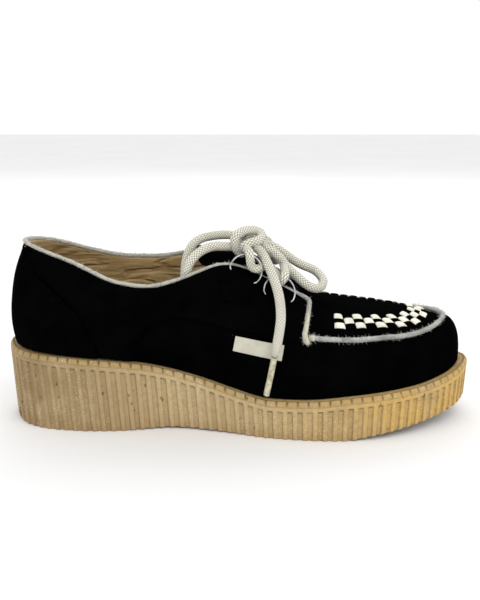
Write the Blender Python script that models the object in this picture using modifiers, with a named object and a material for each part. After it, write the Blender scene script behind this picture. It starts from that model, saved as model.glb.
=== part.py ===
"""A right creeper shoe: a thick ribbed platform, a welt, and an upper with an interlaced apron."""

import math

import bmesh
import bpy
import numpy as np
from mathutils import Vector

# Main sizes, in metres. X runs from heel to toe, -Y is the outer side, +Z is up.
SOLE_LENGTH = 0.275
BALL_WIDTH = 0.102
COLLAR_HEIGHT = 0.106
PLATFORM_HEIGHT = 0.0455
TOE_SPRING = 0.012

# Sole and welt
RIB_PITCH = 0.0055
RIB_DEPTH = 0.0009
SOLE_TAPER = 0.002
LIP_HEIGHT = 0.002
WELT_HEIGHT = 0.003
BEAD_DEPTH = 0.0006
LEDGE = 0.005
RIB_LEAN_DEG = 3.8

# Layers
GAP = 0.0003
WALL = 0.002
QUARTER_LEATHER = 0.0011
COUNTER_LEATHER = 0.0014
TAB_LEATHER = 0.0012
LABEL_THICKNESS = 0.0006
BAND_THICKNESS = 0.0006
CELL_RISE = 0.0006
INSOLE_THICKNESS = 0.002
INSOLE_CLEARANCE = 0.001
TONGUE_THICKNESS = 0.0025
TONGUE_CLEARANCE = 0.0006
TONGUE_ARCH = 0.004
TONGUE_RISE = 0.0215
COLLAR_PIPING = 0.0024
APRON_PIPING = 0.0026

# Interlace band
CELL_LENGTH = 0.0062
CELL_WIDTH = 0.0043
BAND_ROWS = 3
BAND_START = 0.0075

# Rings, label and lace
RING_WIDTH = 0.0182
RING_REACH = 0.0133
RING_WIRE = 0.0012
RING_LIFT_DEG = 20
TAB_LENGTH = 0.0145
TAB_WIDTH = 0.0165
LABEL_LENGTH = 0.027
LABEL_HEIGHT = 0.0083
LACE = 0.005
LACE_TIP = 0.0034

# Grid of the upper: lines up the wall on each side, and steps up each line
LINES = 40
LOW_STEPS = 4
HIGH_STEPS = 6
FRONT_LINE = 25
RIDGE_LINE = 26
POLE_LINE = 33

# Rim of the platform seen from above, from the heel round the outer side to the toe and back:
# x as a share of the length, y as a share of half the width
RIM = [
    (0.000, 0.00), (0.029, -0.39), (0.084, -0.62), (0.171, -0.72), (0.255, -0.716), (0.36, -0.64),
    (0.458, -0.75), (0.56, -0.92), (0.658, -1.0), (0.745, -0.984), (0.825, -0.86), (0.898, -0.64),
    (0.958, -0.37), (0.990, -0.10), (1.0, 0.10), (0.990, 0.33), (0.957, 0.60), (0.891, 0.82),
    (0.80, 0.96), (0.70, 1.0), (0.60, 0.93), (0.498, 0.745), (0.40, 0.60), (0.30, 0.60),
    (0.20, 0.686), (0.12, 0.667), (0.051, 0.50), (0.011, 0.255),
]
RIM_TOE = 14

# Height of the rim: x share of the length, share of the platform height
RIM_HEIGHTS = [
    (0.0, 1.0), (0.11, 0.967), (0.22, 0.923), (0.29, 0.873), (0.367, 0.763), (0.436, 0.66),
    (0.5, 0.554), (0.56, 0.487), (0.63, 0.495), (0.727, 0.55), (0.818, 0.582), (0.873, 0.60),
    (0.927, 0.645), (0.975, 0.705), (1.0, 0.750),
]

# Height of the underside: x share of the length, share of the toe spring
GROUND_HEIGHTS = [
    (0.0, 0.25), (0.025, 0.08), (0.055, 0.0), (0.255, 0.0), (0.30, 0.05), (0.367, 0.10), (0.436, 0.08),
    (0.5, 0.03), (0.545, 0.0), (0.709, 0.0), (0.745, 0.10), (0.818, 0.31), (0.873, 0.47),
    (0.927, 0.63), (0.975, 0.83), (1.0, 1.0),
]

# Shoulder of the upper, which is the apron line in front: the share of the way round from heel to
# toe, then x share of the length, y share of half the width and z share of the collar height,
# for the outer side and for the inner side
SHOULDER = [
    (0.0, 0.015, 0.0, 0.68, 0.015, 0.0, 0.68),
    (0.06, 0.036, -0.345, 0.67, 0.033, 0.31, 0.67),
    (0.12, 0.080, -0.56, 0.66, 0.078, 0.52, 0.665),
    (0.20, 0.168, -0.70, 0.625, 0.155, 0.635, 0.66),
    (0.28, 0.258, -0.715, 0.59, 0.25, 0.665, 0.635),
    (0.37, 0.355, -0.68, 0.575, 0.355, 0.64, 0.615),
    (0.46, 0.455, -0.75, 0.570, 0.455, 0.69, 0.60),
    (0.55, 0.548, -0.79, 0.560, 0.545, 0.725, 0.585),
    (0.625, 0.622, -0.745, 0.528, 0.618, 0.735, 0.56),
    (0.70, 0.722, -0.745, 0.508, 0.715, 0.745, 0.545),
    (0.78, 0.81, -0.645, 0.515, 0.80, 0.72, 0.54),
    (0.85, 0.874, -0.44, 0.53, 0.874, 0.62, 0.547),
    (0.92, 0.919, -0.19, 0.552, 0.919, 0.42, 0.559),
    (0.97, 0.937, 0.0, 0.562, 0.937, 0.22, 0.567),
    (1.0, 0.941, 0.11, 0.566, 0.941, 0.11, 0.566),
]

# Top edge: the topline, then the facing edge, down to the front of the throat, in the same columns
TOP_EDGE = [
    (0.0, 0.047, 0.0, 0.985, 0.047, 0.0, 0.985),
    (0.06, 0.060, -0.20, 0.978, 0.058, 0.20, 0.978),
    (0.12, 0.090, -0.365, 0.955, 0.088, 0.40, 0.955),
    (0.20, 0.165, -0.54, 0.898, 0.155, 0.525, 0.900),
    (0.28, 0.255, -0.635, 0.800, 0.25, 0.565, 0.850),
    (0.34, 0.320, -0.62, 0.780, 0.315, 0.565, 0.848),
    (0.40, 0.393, -0.545, 0.825, 0.39, 0.52, 0.880),
    (0.46, 0.468, -0.475, 0.893, 0.468, 0.47, 0.915),
    (0.50, 0.510, -0.44, 0.862, 0.510, 0.43, 0.885),
    (0.55, 0.562, -0.40, 0.793, 0.562, 0.39, 0.817),
    (0.60, 0.613, -0.37, 0.718, 0.613, 0.36, 0.738),
    (0.625, 0.636, -0.36, 0.678, 0.636, 0.35, 0.695),
]

# Ridge of the vamp, from the front of the throat to the pole where the toe's lines meet
RIDGE = [(0.650, 0.02, 0.705), (0.69, 0.06, 0.662), (0.745, 0.10, 0.632), (0.80, 0.115, 0.614)]

# Roundness of the wall: share of the way round, how far the low part rolls over into the shoulder,
# and the swell of the low and the high part as shares of the ledge
SWELL = [
    (0.0, 0.0, 0.25, 0.25), (0.12, 0.0, 0.40, 0.30), (0.28, 0.0, 0.45, 0.20), (0.40, 0.0, 0.45, 0.30),
    (0.50, 0.1, 0.55, 0.70), (0.58, 0.35, 0.50, 0.85), (0.66, 0.75, 0.35, 0.80), (0.74, 1.0, 0.25, 0.75),
    (0.85, 1.0, 0.20, 0.50), (1.0, 1.0, 0.15, 0.30),
]

# Lower edge of the quarters and upper edge of the counter: x share of the length, z share of the
# collar height
WING_SEAM = [
    (0.283, 0.30), (0.291, 0.49), (0.298, 0.54), (0.318, 0.589), (0.349, 0.621), (0.382, 0.629),
    (0.42, 0.615), (0.48, 0.575), (0.54, 0.555), (0.60, 0.515), (0.66, 0.47),
]
COUNTER_SEAM = [
    (-0.02, 0.955), (0.03, 0.952), (0.055, 0.94), (0.087, 0.84), (0.115, 0.788), (0.145, 0.729),
    (0.172, 0.66), (0.192, 0.577), (0.21, 0.47), (0.222, 0.38), (0.226, 0.30),
]

# Rings: middle of the straight side as x and z shares, on the outer side and on the inner side, then
# how far the ring and its tab turn from the facing's edge, in degrees, front end down
RINGS = {
    "a": ((0.502, 0.824), (0.502, 0.847), 15, 12),
    "b": ((0.573, 0.712), (0.573, 0.732), -7, -5),
}

# Middle of the label, x and z shares, and its slope
LABEL_PLACE = (0.537, 0.4855)
LABEL_SLOPE_DEG = -10.5

# Routes of the lace, as x share of the length, y share of half the width and z share of the collar
# height. Each starts, and a loop also ends, on the knot, in a direction given on a unit ball.
HEEL_LOOP_ENDS = ((-0.88, 0.38, 0.28), (-0.86, -0.42, -0.28))
HEEL_LOOP = [
    (0.4596, 0.0098, 1.0170), (0.4385, -0.0294, 1.0132), (0.4204, -0.0882, 1.0057),
    (0.4055, -0.1275, 0.9849), (0.3938, -0.1667, 0.9415), (0.3876, -0.1961, 0.8868),
    (0.3855, -0.2255, 0.8396), (0.3855, -0.2941, 0.8019), (0.3876, -0.3824, 0.8038),
    (0.3909, -0.4196, 0.8425), (0.3956, -0.4216, 0.8849), (0.4029, -0.4137, 0.9189),
    (0.4156, -0.3843, 0.9500), (0.4313, -0.3412, 0.9698), (0.4505, -0.2843, 0.9783),
]
TOE_LOOP_ENDS = ((0.82, -0.38, -0.42), (0.80, 0.50, -0.30))
TOE_LOOP = [
    (0.5673, -0.1863, 0.9434), (0.5836, -0.2118, 0.9057), (0.5982, -0.2392, 0.8679),
    (0.6164, -0.2647, 0.8302), (0.6364, -0.2647, 0.7877), (0.6553, -0.2255, 0.7594),
    (0.6709, -0.1275, 0.7547), (0.6756, -0.0098, 0.7783), (0.6618, 0.0686, 0.8113),
    (0.6327, 0.0784, 0.8443), (0.6116, 0.0588, 0.8774), (0.5931, 0.0196, 0.9151),
    (0.5727, -0.0098, 0.9528),
]
OUTER_END_START = (0.32, -0.90, -0.30)
OUTER_END = [
    (0.5455, -0.3627, 0.9434), (0.5593, -0.5392, 0.8821), (0.5716, -0.7059, 0.8066),
    (0.5782, -0.8431, 0.7358), (0.5796, -0.9216, 0.6604), (0.5767, -0.9549, 0.5943),
    (0.5720, -0.9647, 0.5189), (0.5680, -0.9608, 0.4623),
]
OUTER_TIP = [
    (0.5673, -0.9588, 0.4566), (0.5607, -0.9412, 0.3585), (0.5527, -0.9118, 0.2472),
]
INNER_END_START = (0.25, 0.93, -0.25)
INNER_END = [
    (0.5436, 0.2451, 0.9811), (0.5618, 0.4510, 0.9481), (0.5680, 0.6667, 0.8774),
    (0.5680, 0.8333, 0.7783), (0.5644, 0.9216, 0.6745), (0.5593, 0.9608, 0.5708),
    (0.5535, 0.9608, 0.4906),
]
INNER_TIP = [
    (0.5520, 0.9588, 0.4849), (0.5473, 0.9373, 0.3868), (0.5418, 0.9020, 0.2830),
]
KNOT_MIDDLE = (0.5211, -0.0980, 0.9925)
KNOT_SIZE = (0.0185, 0.0150, 0.0120)

HALF_WIDTH = BALL_WIDTH / 2


def clear_scene():
    for item in list(bpy.data.objects):
        bpy.data.objects.remove(item, do_unlink=True)


def make_material(name, colour, roughness, metallic=0.0):
    material = bpy.data.materials.new(name)
    material.use_nodes = True
    shader = material.node_tree.nodes["Principled BSDF"]
    shader.inputs["Base Color"].default_value = (*colour, 1.0)
    shader.inputs["Roughness"].default_value = roughness
    shader.inputs["Metallic"].default_value = metallic
    return material


def smooth_line(points, samples, closed=False):
    """Points along a Catmull-Rom curve through the given ones."""
    points = np.array(points, float)
    count = len(points)
    spans = count if closed else count - 1
    if not closed:
        points = np.vstack([2 * points[0] - points[1], points, 2 * points[-1] - points[-2]])
    result = []
    for span in range(spans):
        if closed:
            a, b, c, d = (points[(span + k) % count] for k in (-1, 0, 1, 2))
        else:
            a, b, c, d = points[span : span + 4]
        for step in range(samples):
            t = step / samples
            result.append(
                0.5 * (2 * b + (c - a) * t + (2 * a - 5 * b + 4 * c - d) * t * t
                       + (3 * b - a - 3 * c + d) * t ** 3)
            )
    if not closed:
        result.append(points[-2])
    return np.array(result)


def monotone(table, x):
    """A smooth curve through a table that never overshoots it."""
    xs = np.array([row[0] for row in table])
    ys = np.array([row[1] for row in table])
    step = np.diff(xs)
    slope = np.diff(ys) / step
    ends = np.zeros(len(xs))
    for k in range(1, len(xs) - 1):
        if slope[k - 1] * slope[k] > 0:
            ends[k] = 2 * slope[k - 1] * slope[k] / (slope[k - 1] + slope[k])
    ends[0] = slope[0]
    ends[-1] = slope[-1]
    x = min(max(x, xs[0]), xs[-1])
    k = int(np.clip(np.searchsorted(xs, x) - 1, 0, len(xs) - 2))
    t = (x - xs[k]) / step[k]
    return float(
        (2 * t**3 - 3 * t**2 + 1) * ys[k] + (t**3 - 2 * t**2 + t) * step[k] * ends[k]
        + (-2 * t**3 + 3 * t**2) * ys[k + 1] + (t**3 - t**2) * step[k] * ends[k + 1]
    )


def column(table, key, first):
    """Three smooth columns of a table, read at one key."""
    return np.array([monotone([(row[0], row[first + k]) for row in table], key) for k in range(3)])


def to_metres(share):
    return np.array([
        (share[0] - 0.5) * SOLE_LENGTH, share[1] * HALF_WIDTH, share[2] * COLLAR_HEIGHT,
    ])


def in_metres(points):
    return [tuple(to_metres(point)) for point in points]


def rim_height(x):
    return monotone(RIM_HEIGHTS, x / SOLE_LENGTH + 0.5) * PLATFORM_HEIGHT


def ground_height(x):
    return monotone(GROUND_HEIGHTS, x / SOLE_LENGTH + 0.5) * TOE_SPRING


class Rim:
    """The platform's outline, read by side (-1 outer, 1 inner) and share of the way to the toe."""

    def __init__(self):
        fine = 24
        loop = smooth_line(RIM, fine, closed=True)
        low, high = loop.min(axis=0), loop.max(axis=0)
        loop = (loop - low) / (high - low)
        loop = np.column_stack([(loop[:, 0] - 0.5) * SOLE_LENGTH, (loop[:, 1] - 0.5) * BALL_WIDTH])
        toe = RIM_TOE * fine
        outer = loop[: toe + 1]
        inner = np.vstack([loop[toe:], loop[:1]])[::-1]
        self.paths = {-1: outer, 1: inner}
        self.shares = {}
        self.lengths = {}
        for side, path in self.paths.items():
            run = np.concatenate([[0], np.cumsum(np.linalg.norm(np.diff(path, axis=0), axis=1))])
            self.lengths[side] = run[-1]
            self.shares[side] = run / run[-1]

    def point(self, side, share):
        path, shares = self.paths[side], self.shares[side]
        return np.array([np.interp(share, shares, path[:, 0]), np.interp(share, shares, path[:, 1])])

    def outward(self, side, share):
        step = 0.004
        low, high = max(share - step, 0.0), min(share + step, 1.0)
        ahead = self.point(side, high) - self.point(side, low)
        if low == 0.0:
            return np.array([-1.0, 0.0]) if share == 0 else self.turn(side, ahead)
        if high == 1.0:
            return np.array([1.0, 0.0]) if share == 1 else self.turn(side, ahead)
        return self.turn(side, ahead)

    @staticmethod
    def turn(side, ahead):
        normal = np.array([-ahead[1], ahead[0]]) * side
        return normal / np.linalg.norm(normal)


rim = Rim()


def make_object(name, mesh, material):
    item = bpy.data.objects.new(name, mesh)
    shoe.objects.link(item)
    mesh.materials.append(material)
    return item


def slab_between_rims(name, rings, material):
    """A solid whose sides pass through rings of matching points, closed by rungs across the foot.

    Each ring is two lists, outer and inner side, from the heel to the toe, with both ends shared.
    """
    count = len(rings[0][0])
    points = []
    for outer, inner in rings:
        points += list(outer) + list(inner)
    faces = []

    def index(ring, side, k):
        return ring * 2 * count + side * count + k

    for k in range(count - 1):
        for ring in range(len(rings) - 1):
            for side in (0, 1):
                faces.append((index(ring, side, k), index(ring, side, k + 1),
                              index(ring + 1, side, k + 1), index(ring + 1, side, k)))
        for ring in (0, len(rings) - 1):
            faces.append((index(ring, 0, k), index(ring, 0, k + 1),
                          index(ring, 1, k + 1), index(ring, 1, k)))
    mesh = bpy.data.meshes.new(name)
    mesh.from_pydata([tuple(point) for point in points], [], faces)
    work = bmesh.new()
    work.from_mesh(mesh)
    bmesh.ops.remove_doubles(work, verts=work.verts, dist=1e-7)
    bmesh.ops.dissolve_degenerate(work, edges=work.edges, dist=1e-8)
    bmesh.ops.recalc_face_normals(work, faces=work.faces)
    work.to_mesh(mesh)
    work.free()
    return make_object(name, mesh, material)


def rim_ring(phases, inset, notch, height):
    """One ring round the platform. notch is the depth of a groove; height takes x and gives z."""
    ring = []
    for side in (-1, 1):
        line = []
        for share, depth in phases:
            drop = height(rim.point(side, share)[0])
            lean = math.radians(RIB_LEAN_DEG) * max(0.0, min(1.0, (0.66 - share) / 0.2))
            level = rim_height(rim.point(side, share)[0]) - WELT_HEIGHT
            shift = math.tan(lean) * (level - drop) / rim.lengths[side]
            moved = min(1.0, share + shift * min(1.0, share * 12) * (0 < share < 1))
            spot = rim.point(side, moved) - rim.outward(side, moved) * (inset(share) + notch * depth)
            line.append((spot[0], spot[1], height(spot[0])))
        ring.append(line)
    for k in (0, -1):
        middle = tuple((np.array(ring[0][k]) + np.array(ring[1][k])) / 2)
        ring[0][k] = middle
        ring[1][k] = middle
    return ring


def rib_phases():
    """Shares round one side, with 1 in each groove and 0 on each rib's two shoulders."""
    count = round((rim.lengths[-1] + rim.lengths[1]) / 2 / RIB_PITCH)
    phases = []
    for k in range(count):
        phases += [(k / count, 1.0), ((k + 0.27) / count, 0.0), ((k + 0.73) / count, 0.0)]
    return phases + [(1.0, 1.0)]


def build_sole(material):
    phases = rib_phases()
    top = WELT_HEIGHT + GAP

    def taper(share):
        return SOLE_TAPER * (1.0 - 0.6 * share)

    rings = [
        rim_ring(phases, taper, RIB_DEPTH, ground_height),
        rim_ring(
            phases, lambda share: 0.0, RIB_DEPTH, lambda x: rim_height(x) - top - LIP_HEIGHT - 0.4 * RIB_DEPTH,
        ),
        rim_ring(phases, lambda share: 0.15 * RIB_DEPTH, 0.0, lambda x: rim_height(x) - top - LIP_HEIGHT),
        rim_ring(phases, lambda share: 0.15 * RIB_DEPTH, 0.0, lambda x: rim_height(x) - top),
    ]
    return slab_between_rims("sole", rings, material)


def build_welt(material):
    phases = rib_phases()
    rings = [
        rim_ring(phases, lambda share: 0.8 * BEAD_DEPTH, BEAD_DEPTH, lambda x: rim_height(x) - WELT_HEIGHT),
        rim_ring(phases, lambda share: 0.0, BEAD_DEPTH, lambda x: rim_height(x) - 0.5 * WELT_HEIGHT),
        rim_ring(phases, lambda share: 1.2 * BEAD_DEPTH, 0.5 * BEAD_DEPTH, rim_height),
    ]
    return slab_between_rims("welt", rings, material)


def build_insole(material):
    inset = LEDGE + WALL + INSOLE_CLEARANCE
    phases = [(k / 36, 0.0) for k in range(37)]
    rings = [
        rim_ring(phases, lambda share: inset, 0.0, lambda x: rim_height(x) + GAP),
        rim_ring(phases, lambda share: inset, 0.0, lambda x: rim_height(x) + GAP + INSOLE_THICKNESS),
    ]
    return slab_between_rims("insole", rings, material)


def upper_line(side, line):
    """Points up the upper's outer face on one line, from the feather to the top."""
    share = line / LINES
    spot = rim.point(side, share) - rim.outward(side, share) * LEDGE
    foot = np.array([spot[0], spot[1], rim_height(spot[0]) + GAP])
    first = 1 if side < 0 else 4
    shoulder = to_metres(column(SHOULDER, share, first))
    if line >= POLE_LINE:
        top = to_metres(RIDGE[-1])
    elif line >= RIDGE_LINE:
        way = smooth_line(RIDGE, 12)
        k = (line - RIDGE_LINE) / (POLE_LINE - RIDGE_LINE) * (len(way) - 1)
        top = to_metres([np.interp(k, range(len(way)), way[:, axis]) for axis in range(3)])
    else:
        top = to_metres(column(TOP_EDGE, share, first))
    roll, low, high = column(SWELL, share, 1)
    outward = np.array([*rim.outward(side, share), 0.0])
    points = []
    for step in range(LOW_STEPS + 1):
        turn = step / LOW_STEPS
        angle = turn * math.pi / 2
        up = roll * math.sin(angle) + (1 - roll) * turn
        across = roll * (1 - math.cos(angle)) ** 1.25 + (1 - roll) * turn
        point = foot + (shoulder - foot) * np.array([across, across, up])
        points.append(point + outward * LEDGE * low * math.sin(math.pi * turn))
    rise = top - shoulder
    away = outward - rise * np.dot(outward, rise) / np.dot(rise, rise)
    blend = max(0.0, min(1.0, (share - 0.55) / 0.15))
    away = away * (1 - blend) + np.array([0, 0, 1.0]) * blend
    away = away / np.linalg.norm(away)
    for step in range(1, HIGH_STEPS + 1):
        turn = step / HIGH_STEPS
        points.append(shoulder + rise * turn + away * LEDGE * high * math.sin(math.pi * turn))
    return points


def upper_grid():
    """The upper's outer face: lines round the foot from the heel, and steps up each line."""
    lines = [upper_line(-1, line) for line in range(LINES + 1)]
    lines += [upper_line(1, line) for line in range(LINES - 1, 0, -1)]
    grid = np.array(lines)
    around = np.roll(grid, -1, axis=0) - np.roll(grid, 1, axis=0)
    upward = np.zeros_like(grid)
    upward[:, 1:-1] = grid[:, 2:] - grid[:, :-2]
    upward[:, 0] = grid[:, 1] - grid[:, 0]
    upward[:, -1] = grid[:, -1] - grid[:, -2]
    normals = np.cross(around, upward)
    size = np.linalg.norm(normals, axis=2, keepdims=True)
    normals = normals / np.maximum(size, 1e-12)
    for line in range(RIDGE_LINE, 2 * LINES - RIDGE_LINE + 1):
        other = (2 * LINES - line) % (2 * LINES)
        if POLE_LINE <= line <= 2 * LINES - POLE_LINE:
            normals[line, -1] = (0, 0, 1)
        else:
            both = normals[line, -2] + normals[other, -2]
            normals[line, -1] = both / np.linalg.norm(both)
    return grid, normals


def on_face(side, line, step, lift=0.0):
    """A point on the upper's face, or above it. line runs 0 to LINES from heel to toe."""
    place = (line if side < 0 else 2 * LINES - line) % (2 * LINES)
    a = int(math.floor(place))
    b = int(math.floor(min(step, LOW_STEPS + HIGH_STEPS - 1e-9)))
    s, t = place - a, step - b
    point = np.zeros(3)
    normal = np.zeros(3)
    for i, j, share in ((0, 0, (1 - s) * (1 - t)), (1, 0, s * (1 - t)), (0, 1, (1 - s) * t), (1, 1, s * t)):
        point += share * GRID[(a + i) % (2 * LINES), b + j]
        normal += share * NORMALS[(a + i) % (2 * LINES), b + j]
    normal = normal / np.linalg.norm(normal)
    return point + normal * lift, normal


def find_place(side, x, z):
    """The line and step where one side of the upper has this x and z."""
    order = [k if side < 0 else (2 * LINES - k) % (2 * LINES) for k in range(LINES + 1)]
    miss = np.hypot(GRID[order][:, :, 0] - x, GRID[order][:, :, 2] - z)
    line, step = (float(k) for k in np.unravel_index(np.argmin(miss), miss.shape))
    step = min(max(step, 0.06), 9.9)
    for _ in range(14):
        point, normal = on_face(side, line, step)
        du = on_face(side, line + 0.05, step)[0] - on_face(side, line - 0.05, step)[0]
        dv = on_face(side, line, min(step + 0.05, 9.99))[0] - on_face(side, line, step - 0.05)[0]
        matrix = np.array([[du[0] * 10, dv[0] * 10], [du[2] * 10, dv[2] * 10]])
        move = np.linalg.lstsq(matrix, np.array([x - point[0], z - point[2]]), rcond=None)[0]
        line += float(np.clip(move[0], -0.6, 0.6))
        step += float(np.clip(move[1], -0.6, 0.6))
        step = min(max(step, 0.06), 9.9)
    return line, step


def add_shell(item, thickness, offset):
    solid = item.modifiers.new("thickness", "SOLIDIFY")
    solid.thickness = thickness
    solid.offset = offset
    return item


def sheet(name, rows, material, thickness, offset=1.0, closed=False):
    """A shell from rows of points, given its thickness by Solidify. It may face either way."""
    rows = [list(row) for row in rows]
    width = len(rows[0])
    points = [point for row in rows for point in row]
    faces = []
    for a in range(len(rows) - (0 if closed else 1)):
        b = (a + 1) % len(rows)
        for k in range(width - 1):
            faces.append((a * width + k, b * width + k, b * width + k + 1, a * width + k + 1))
    mesh = bpy.data.meshes.new(name)
    mesh.from_pydata([tuple(point) for point in points], [], faces)
    work = bmesh.new()
    work.from_mesh(mesh)
    bmesh.ops.remove_doubles(work, verts=work.verts, dist=1e-6)
    work.to_mesh(mesh)
    work.free()
    mesh.validate()
    return add_shell(make_object(name, mesh, material), thickness, offset)


def build_upper(material):
    rows = list(GRID)
    return sheet("upper", rows, material, WALL, -1.0, closed=True)


def seam_step(side, line, table):
    """The step on a line where it crosses a seam that is drawn in x and z."""
    last = None
    for step in np.linspace(0.0, LOW_STEPS + HIGH_STEPS, 401):
        point, normal = on_face(side, line, step)
        high = point[2] - monotone(table, point[0] / SOLE_LENGTH + 0.5) * COLLAR_HEIGHT
        if high >= 0:
            return float(step) if last is not None else 0.0
        last = step
    return float(LOW_STEPS + HIGH_STEPS)


def layer_rows(spans, lift):
    """Rows of points over part of the upper: each span is side, line, lowest and highest step."""
    rows = []
    for side, line, low, high in spans:
        steps = [min(max(float(k), low), high) for k in range(LOW_STEPS + HIGH_STEPS + 1)]
        rows.append([on_face(side, line, step, lift)[0] for step in steps])
    return rows


def layer_lines(first, last, edge):
    """Lines of a layer, closer together where its seam runs steeply down the wall."""
    lines = [float(line) for line in range(first, last + 1)]
    k = 0
    while k < len(lines) - 1:
        steep = abs(edge(lines[k + 1]) - edge(lines[k])) > 1.1
        if steep and lines[k + 1] - lines[k] > 0.06:
            lines.insert(k + 1, (lines[k] + lines[k + 1]) / 2)
        else:
            k += 1
    return lines


def build_quarter(name, side, material):
    def lowest(line):
        x = on_face(side, line, 2.0)[0][0] / SOLE_LENGTH + 0.5
        low = seam_step(side, line, COUNTER_SEAM)
        if x > 0.25:
            low = max(low, seam_step(side, line, WING_SEAM))
        return max(low + 0.12, 0.25)

    spans = []
    for line in layer_lines(1, FRONT_LINE, lowest):
        if lowest(line) < 9.6:
            spans.append((side, line, lowest(line), 9.7 if line == FRONT_LINE else 10.0))
    rows = layer_rows(spans, 1.5 * GAP)
    if side > 0:
        rows = rows[::-1]
    return sheet(name, rows, material, QUARTER_LEATHER)


def build_counter(material):
    spans = []
    for side in (-1, 1):
        lines = layer_lines(0, 13, lambda line: seam_step(side, line, COUNTER_SEAM))
        half = [(side, line, 0.25, seam_step(side, line, COUNTER_SEAM) - 0.12) for line in lines]
        half = [span for span in half if span[3] > 0.4]
        spans = half[:0:-1] if side < 0 else spans + half
    rows = layer_rows(spans, 1.5 * GAP)
    return sheet("counter", rows[::-1], material, COUNTER_LEATHER)


def tongue_station(line, width_step):
    """Across the tongue at one line of the facings: its outer edge, the crest and its inner edge."""
    drop = WALL + TONGUE_CLEARANCE
    outer = [on_face(-1, line, step, -drop)[0] for step in (width_step, 9.4, 9.99)]
    inner = [on_face(1, line, step, -drop)[0] for step in (9.99, 9.4, width_step)]
    arch = TONGUE_ARCH * (1 - 0.65 * (line - 19) / (FRONT_LINE - 19))
    crest = (outer[-1] + inner[0]) / 2 + np.array([0, 0, arch])
    swell = np.array([0, 0, arch * 0.25])
    near, far = (outer[2] + crest) / 2 + swell, (inner[0] + crest) / 2 + swell
    return [*outer, near, crest, far, *inner]


def build_tongue(material):
    rows = [tongue_station(line, 8.4) for line in range(19, 26)]
    back = np.array(rows[0])
    extra = []
    for k, share in enumerate((1.0, 0.72, 0.36)):
        row = back + np.array([-0.95, 0, 0.18]) * TONGUE_RISE * share
        middle = row[4].copy()
        narrow = (0.56, 0.66, 0.74)[k]
        row = middle + (row - middle) * np.array([narrow, narrow, narrow * 0.8])
        edge = (0.20, 0.05, 0.0)[k] * TONGUE_RISE
        for m in range(9):
            away = abs(m - 4) / 4
            row[m] = row[m] + np.array([0.72, 0, -0.50]) * edge * away**3
        extra.append(list(row))
    tuck = np.array([0.0065, 0, -0.0040])
    front = [point + tuck for point in np.array(rows[-1])]
    front = [front[4] * 0.35 + point * 0.65 for point in front]
    rows = extra + rows + [front]
    return sheet("tongue", rows, material, TONGUE_THICKNESS, -1.0)


def unit(vector):
    return vector / np.linalg.norm(vector)


def tube(name, points, diameter, material, cyclic=False, resolution=2, caps=True):
    curve = bpy.data.curves.new(name, "CURVE")
    curve.dimensions = "3D"
    curve.bevel_depth = diameter / 2
    curve.bevel_resolution = resolution
    curve.use_fill_caps = caps
    spline = curve.splines.new("POLY")
    spline.points.add(len(points) - 1)
    for spot, point in zip(spline.points, points):
        spot.co = (*point, 1.0)
    spline.use_cyclic_u = cyclic
    item = bpy.data.objects.new(name, curve)
    shoe.objects.link(item)
    curve.materials.append(material)
    return item


def beyond(run, normal, toward):
    """The direction square to an edge and to the face's normal, on the side of toward."""
    way = unit(np.cross(run, normal))
    return way if np.dot(way, toward) > 0 else -way


def top_frame(side, line):
    """A point on the top edge, the direction that carries on beyond it, and the face's normal."""
    point, normal = on_face(side, line, 10.0)
    ahead = min(line + 0.5, FRONT_LINE)
    run = on_face(side, ahead, 10.0)[0] - on_face(side, line - 0.5, 10.0)[0]
    return point, beyond(run, normal, point - on_face(side, line, 9.0)[0]), normal


def collar_side(side):
    """The collar piping's middle on one side, from the front of the facing to the heel."""
    path = []
    low = seam_step(side, FRONT_LINE, WING_SEAM)
    aside = COLLAR_PIPING / 2 + 1.3 * GAP
    for step in [low + 0.1] + list(range(math.ceil(low + 0.2), 10)):
        point, normal = on_face(side, FRONT_LINE, step)
        run = on_face(side, FRONT_LINE, step + 0.5)[0] - on_face(side, FRONT_LINE, step - 0.5)[0]
        ahead = beyond(run, normal, on_face(side, FRONT_LINE + 0.3, step)[0] - point)
        path.append(point + ahead * aside + normal * (aside + GAP))
    point, normal = on_face(side, FRONT_LINE, 10.0)
    run = point - on_face(side, FRONT_LINE, 9.0)[0]
    ahead = beyond(run, normal, on_face(side, FRONT_LINE + 0.3, 9.5)[0] - on_face(side, FRONT_LINE, 9.5)[0])
    path.append(point + ahead * aside + unit(run) * aside * 0.6 + normal * aside * 1.5)
    for line in range(FRONT_LINE - 1, 0, -1):
        point, up, normal = top_frame(side, line)
        lift = 0.6 * aside if line == FRONT_LINE - 1 else -(WALL - QUARTER_LEATHER) / 4
        path.append(point + up * aside + normal * lift)
    return path


def build_collar_piping(material):
    point, up, normal = top_frame(-1, 0)
    heel = point + up * (COLLAR_PIPING / 2 + 1.3 * GAP)
    path = collar_side(-1) + [heel] + collar_side(1)[::-1]
    return tube("collar_piping", path, COLLAR_PIPING, material, resolution=1)


def build_apron_piping(material):
    places = [(-1, FRONT_LINE + 0.52)] + [(-1, line) for line in range(FRONT_LINE + 1, LINES + 1)]
    places += [(1, line) for line in range(LINES - 1, FRONT_LINE, -1)] + [(1, FRONT_LINE + 0.52)]
    path = [on_face(side, line, LOW_STEPS, APRON_PIPING / 2 + GAP * 1.2)[0] for side, line in places]
    return tube("apron_piping", path, APRON_PIPING, material, resolution=1)


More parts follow.
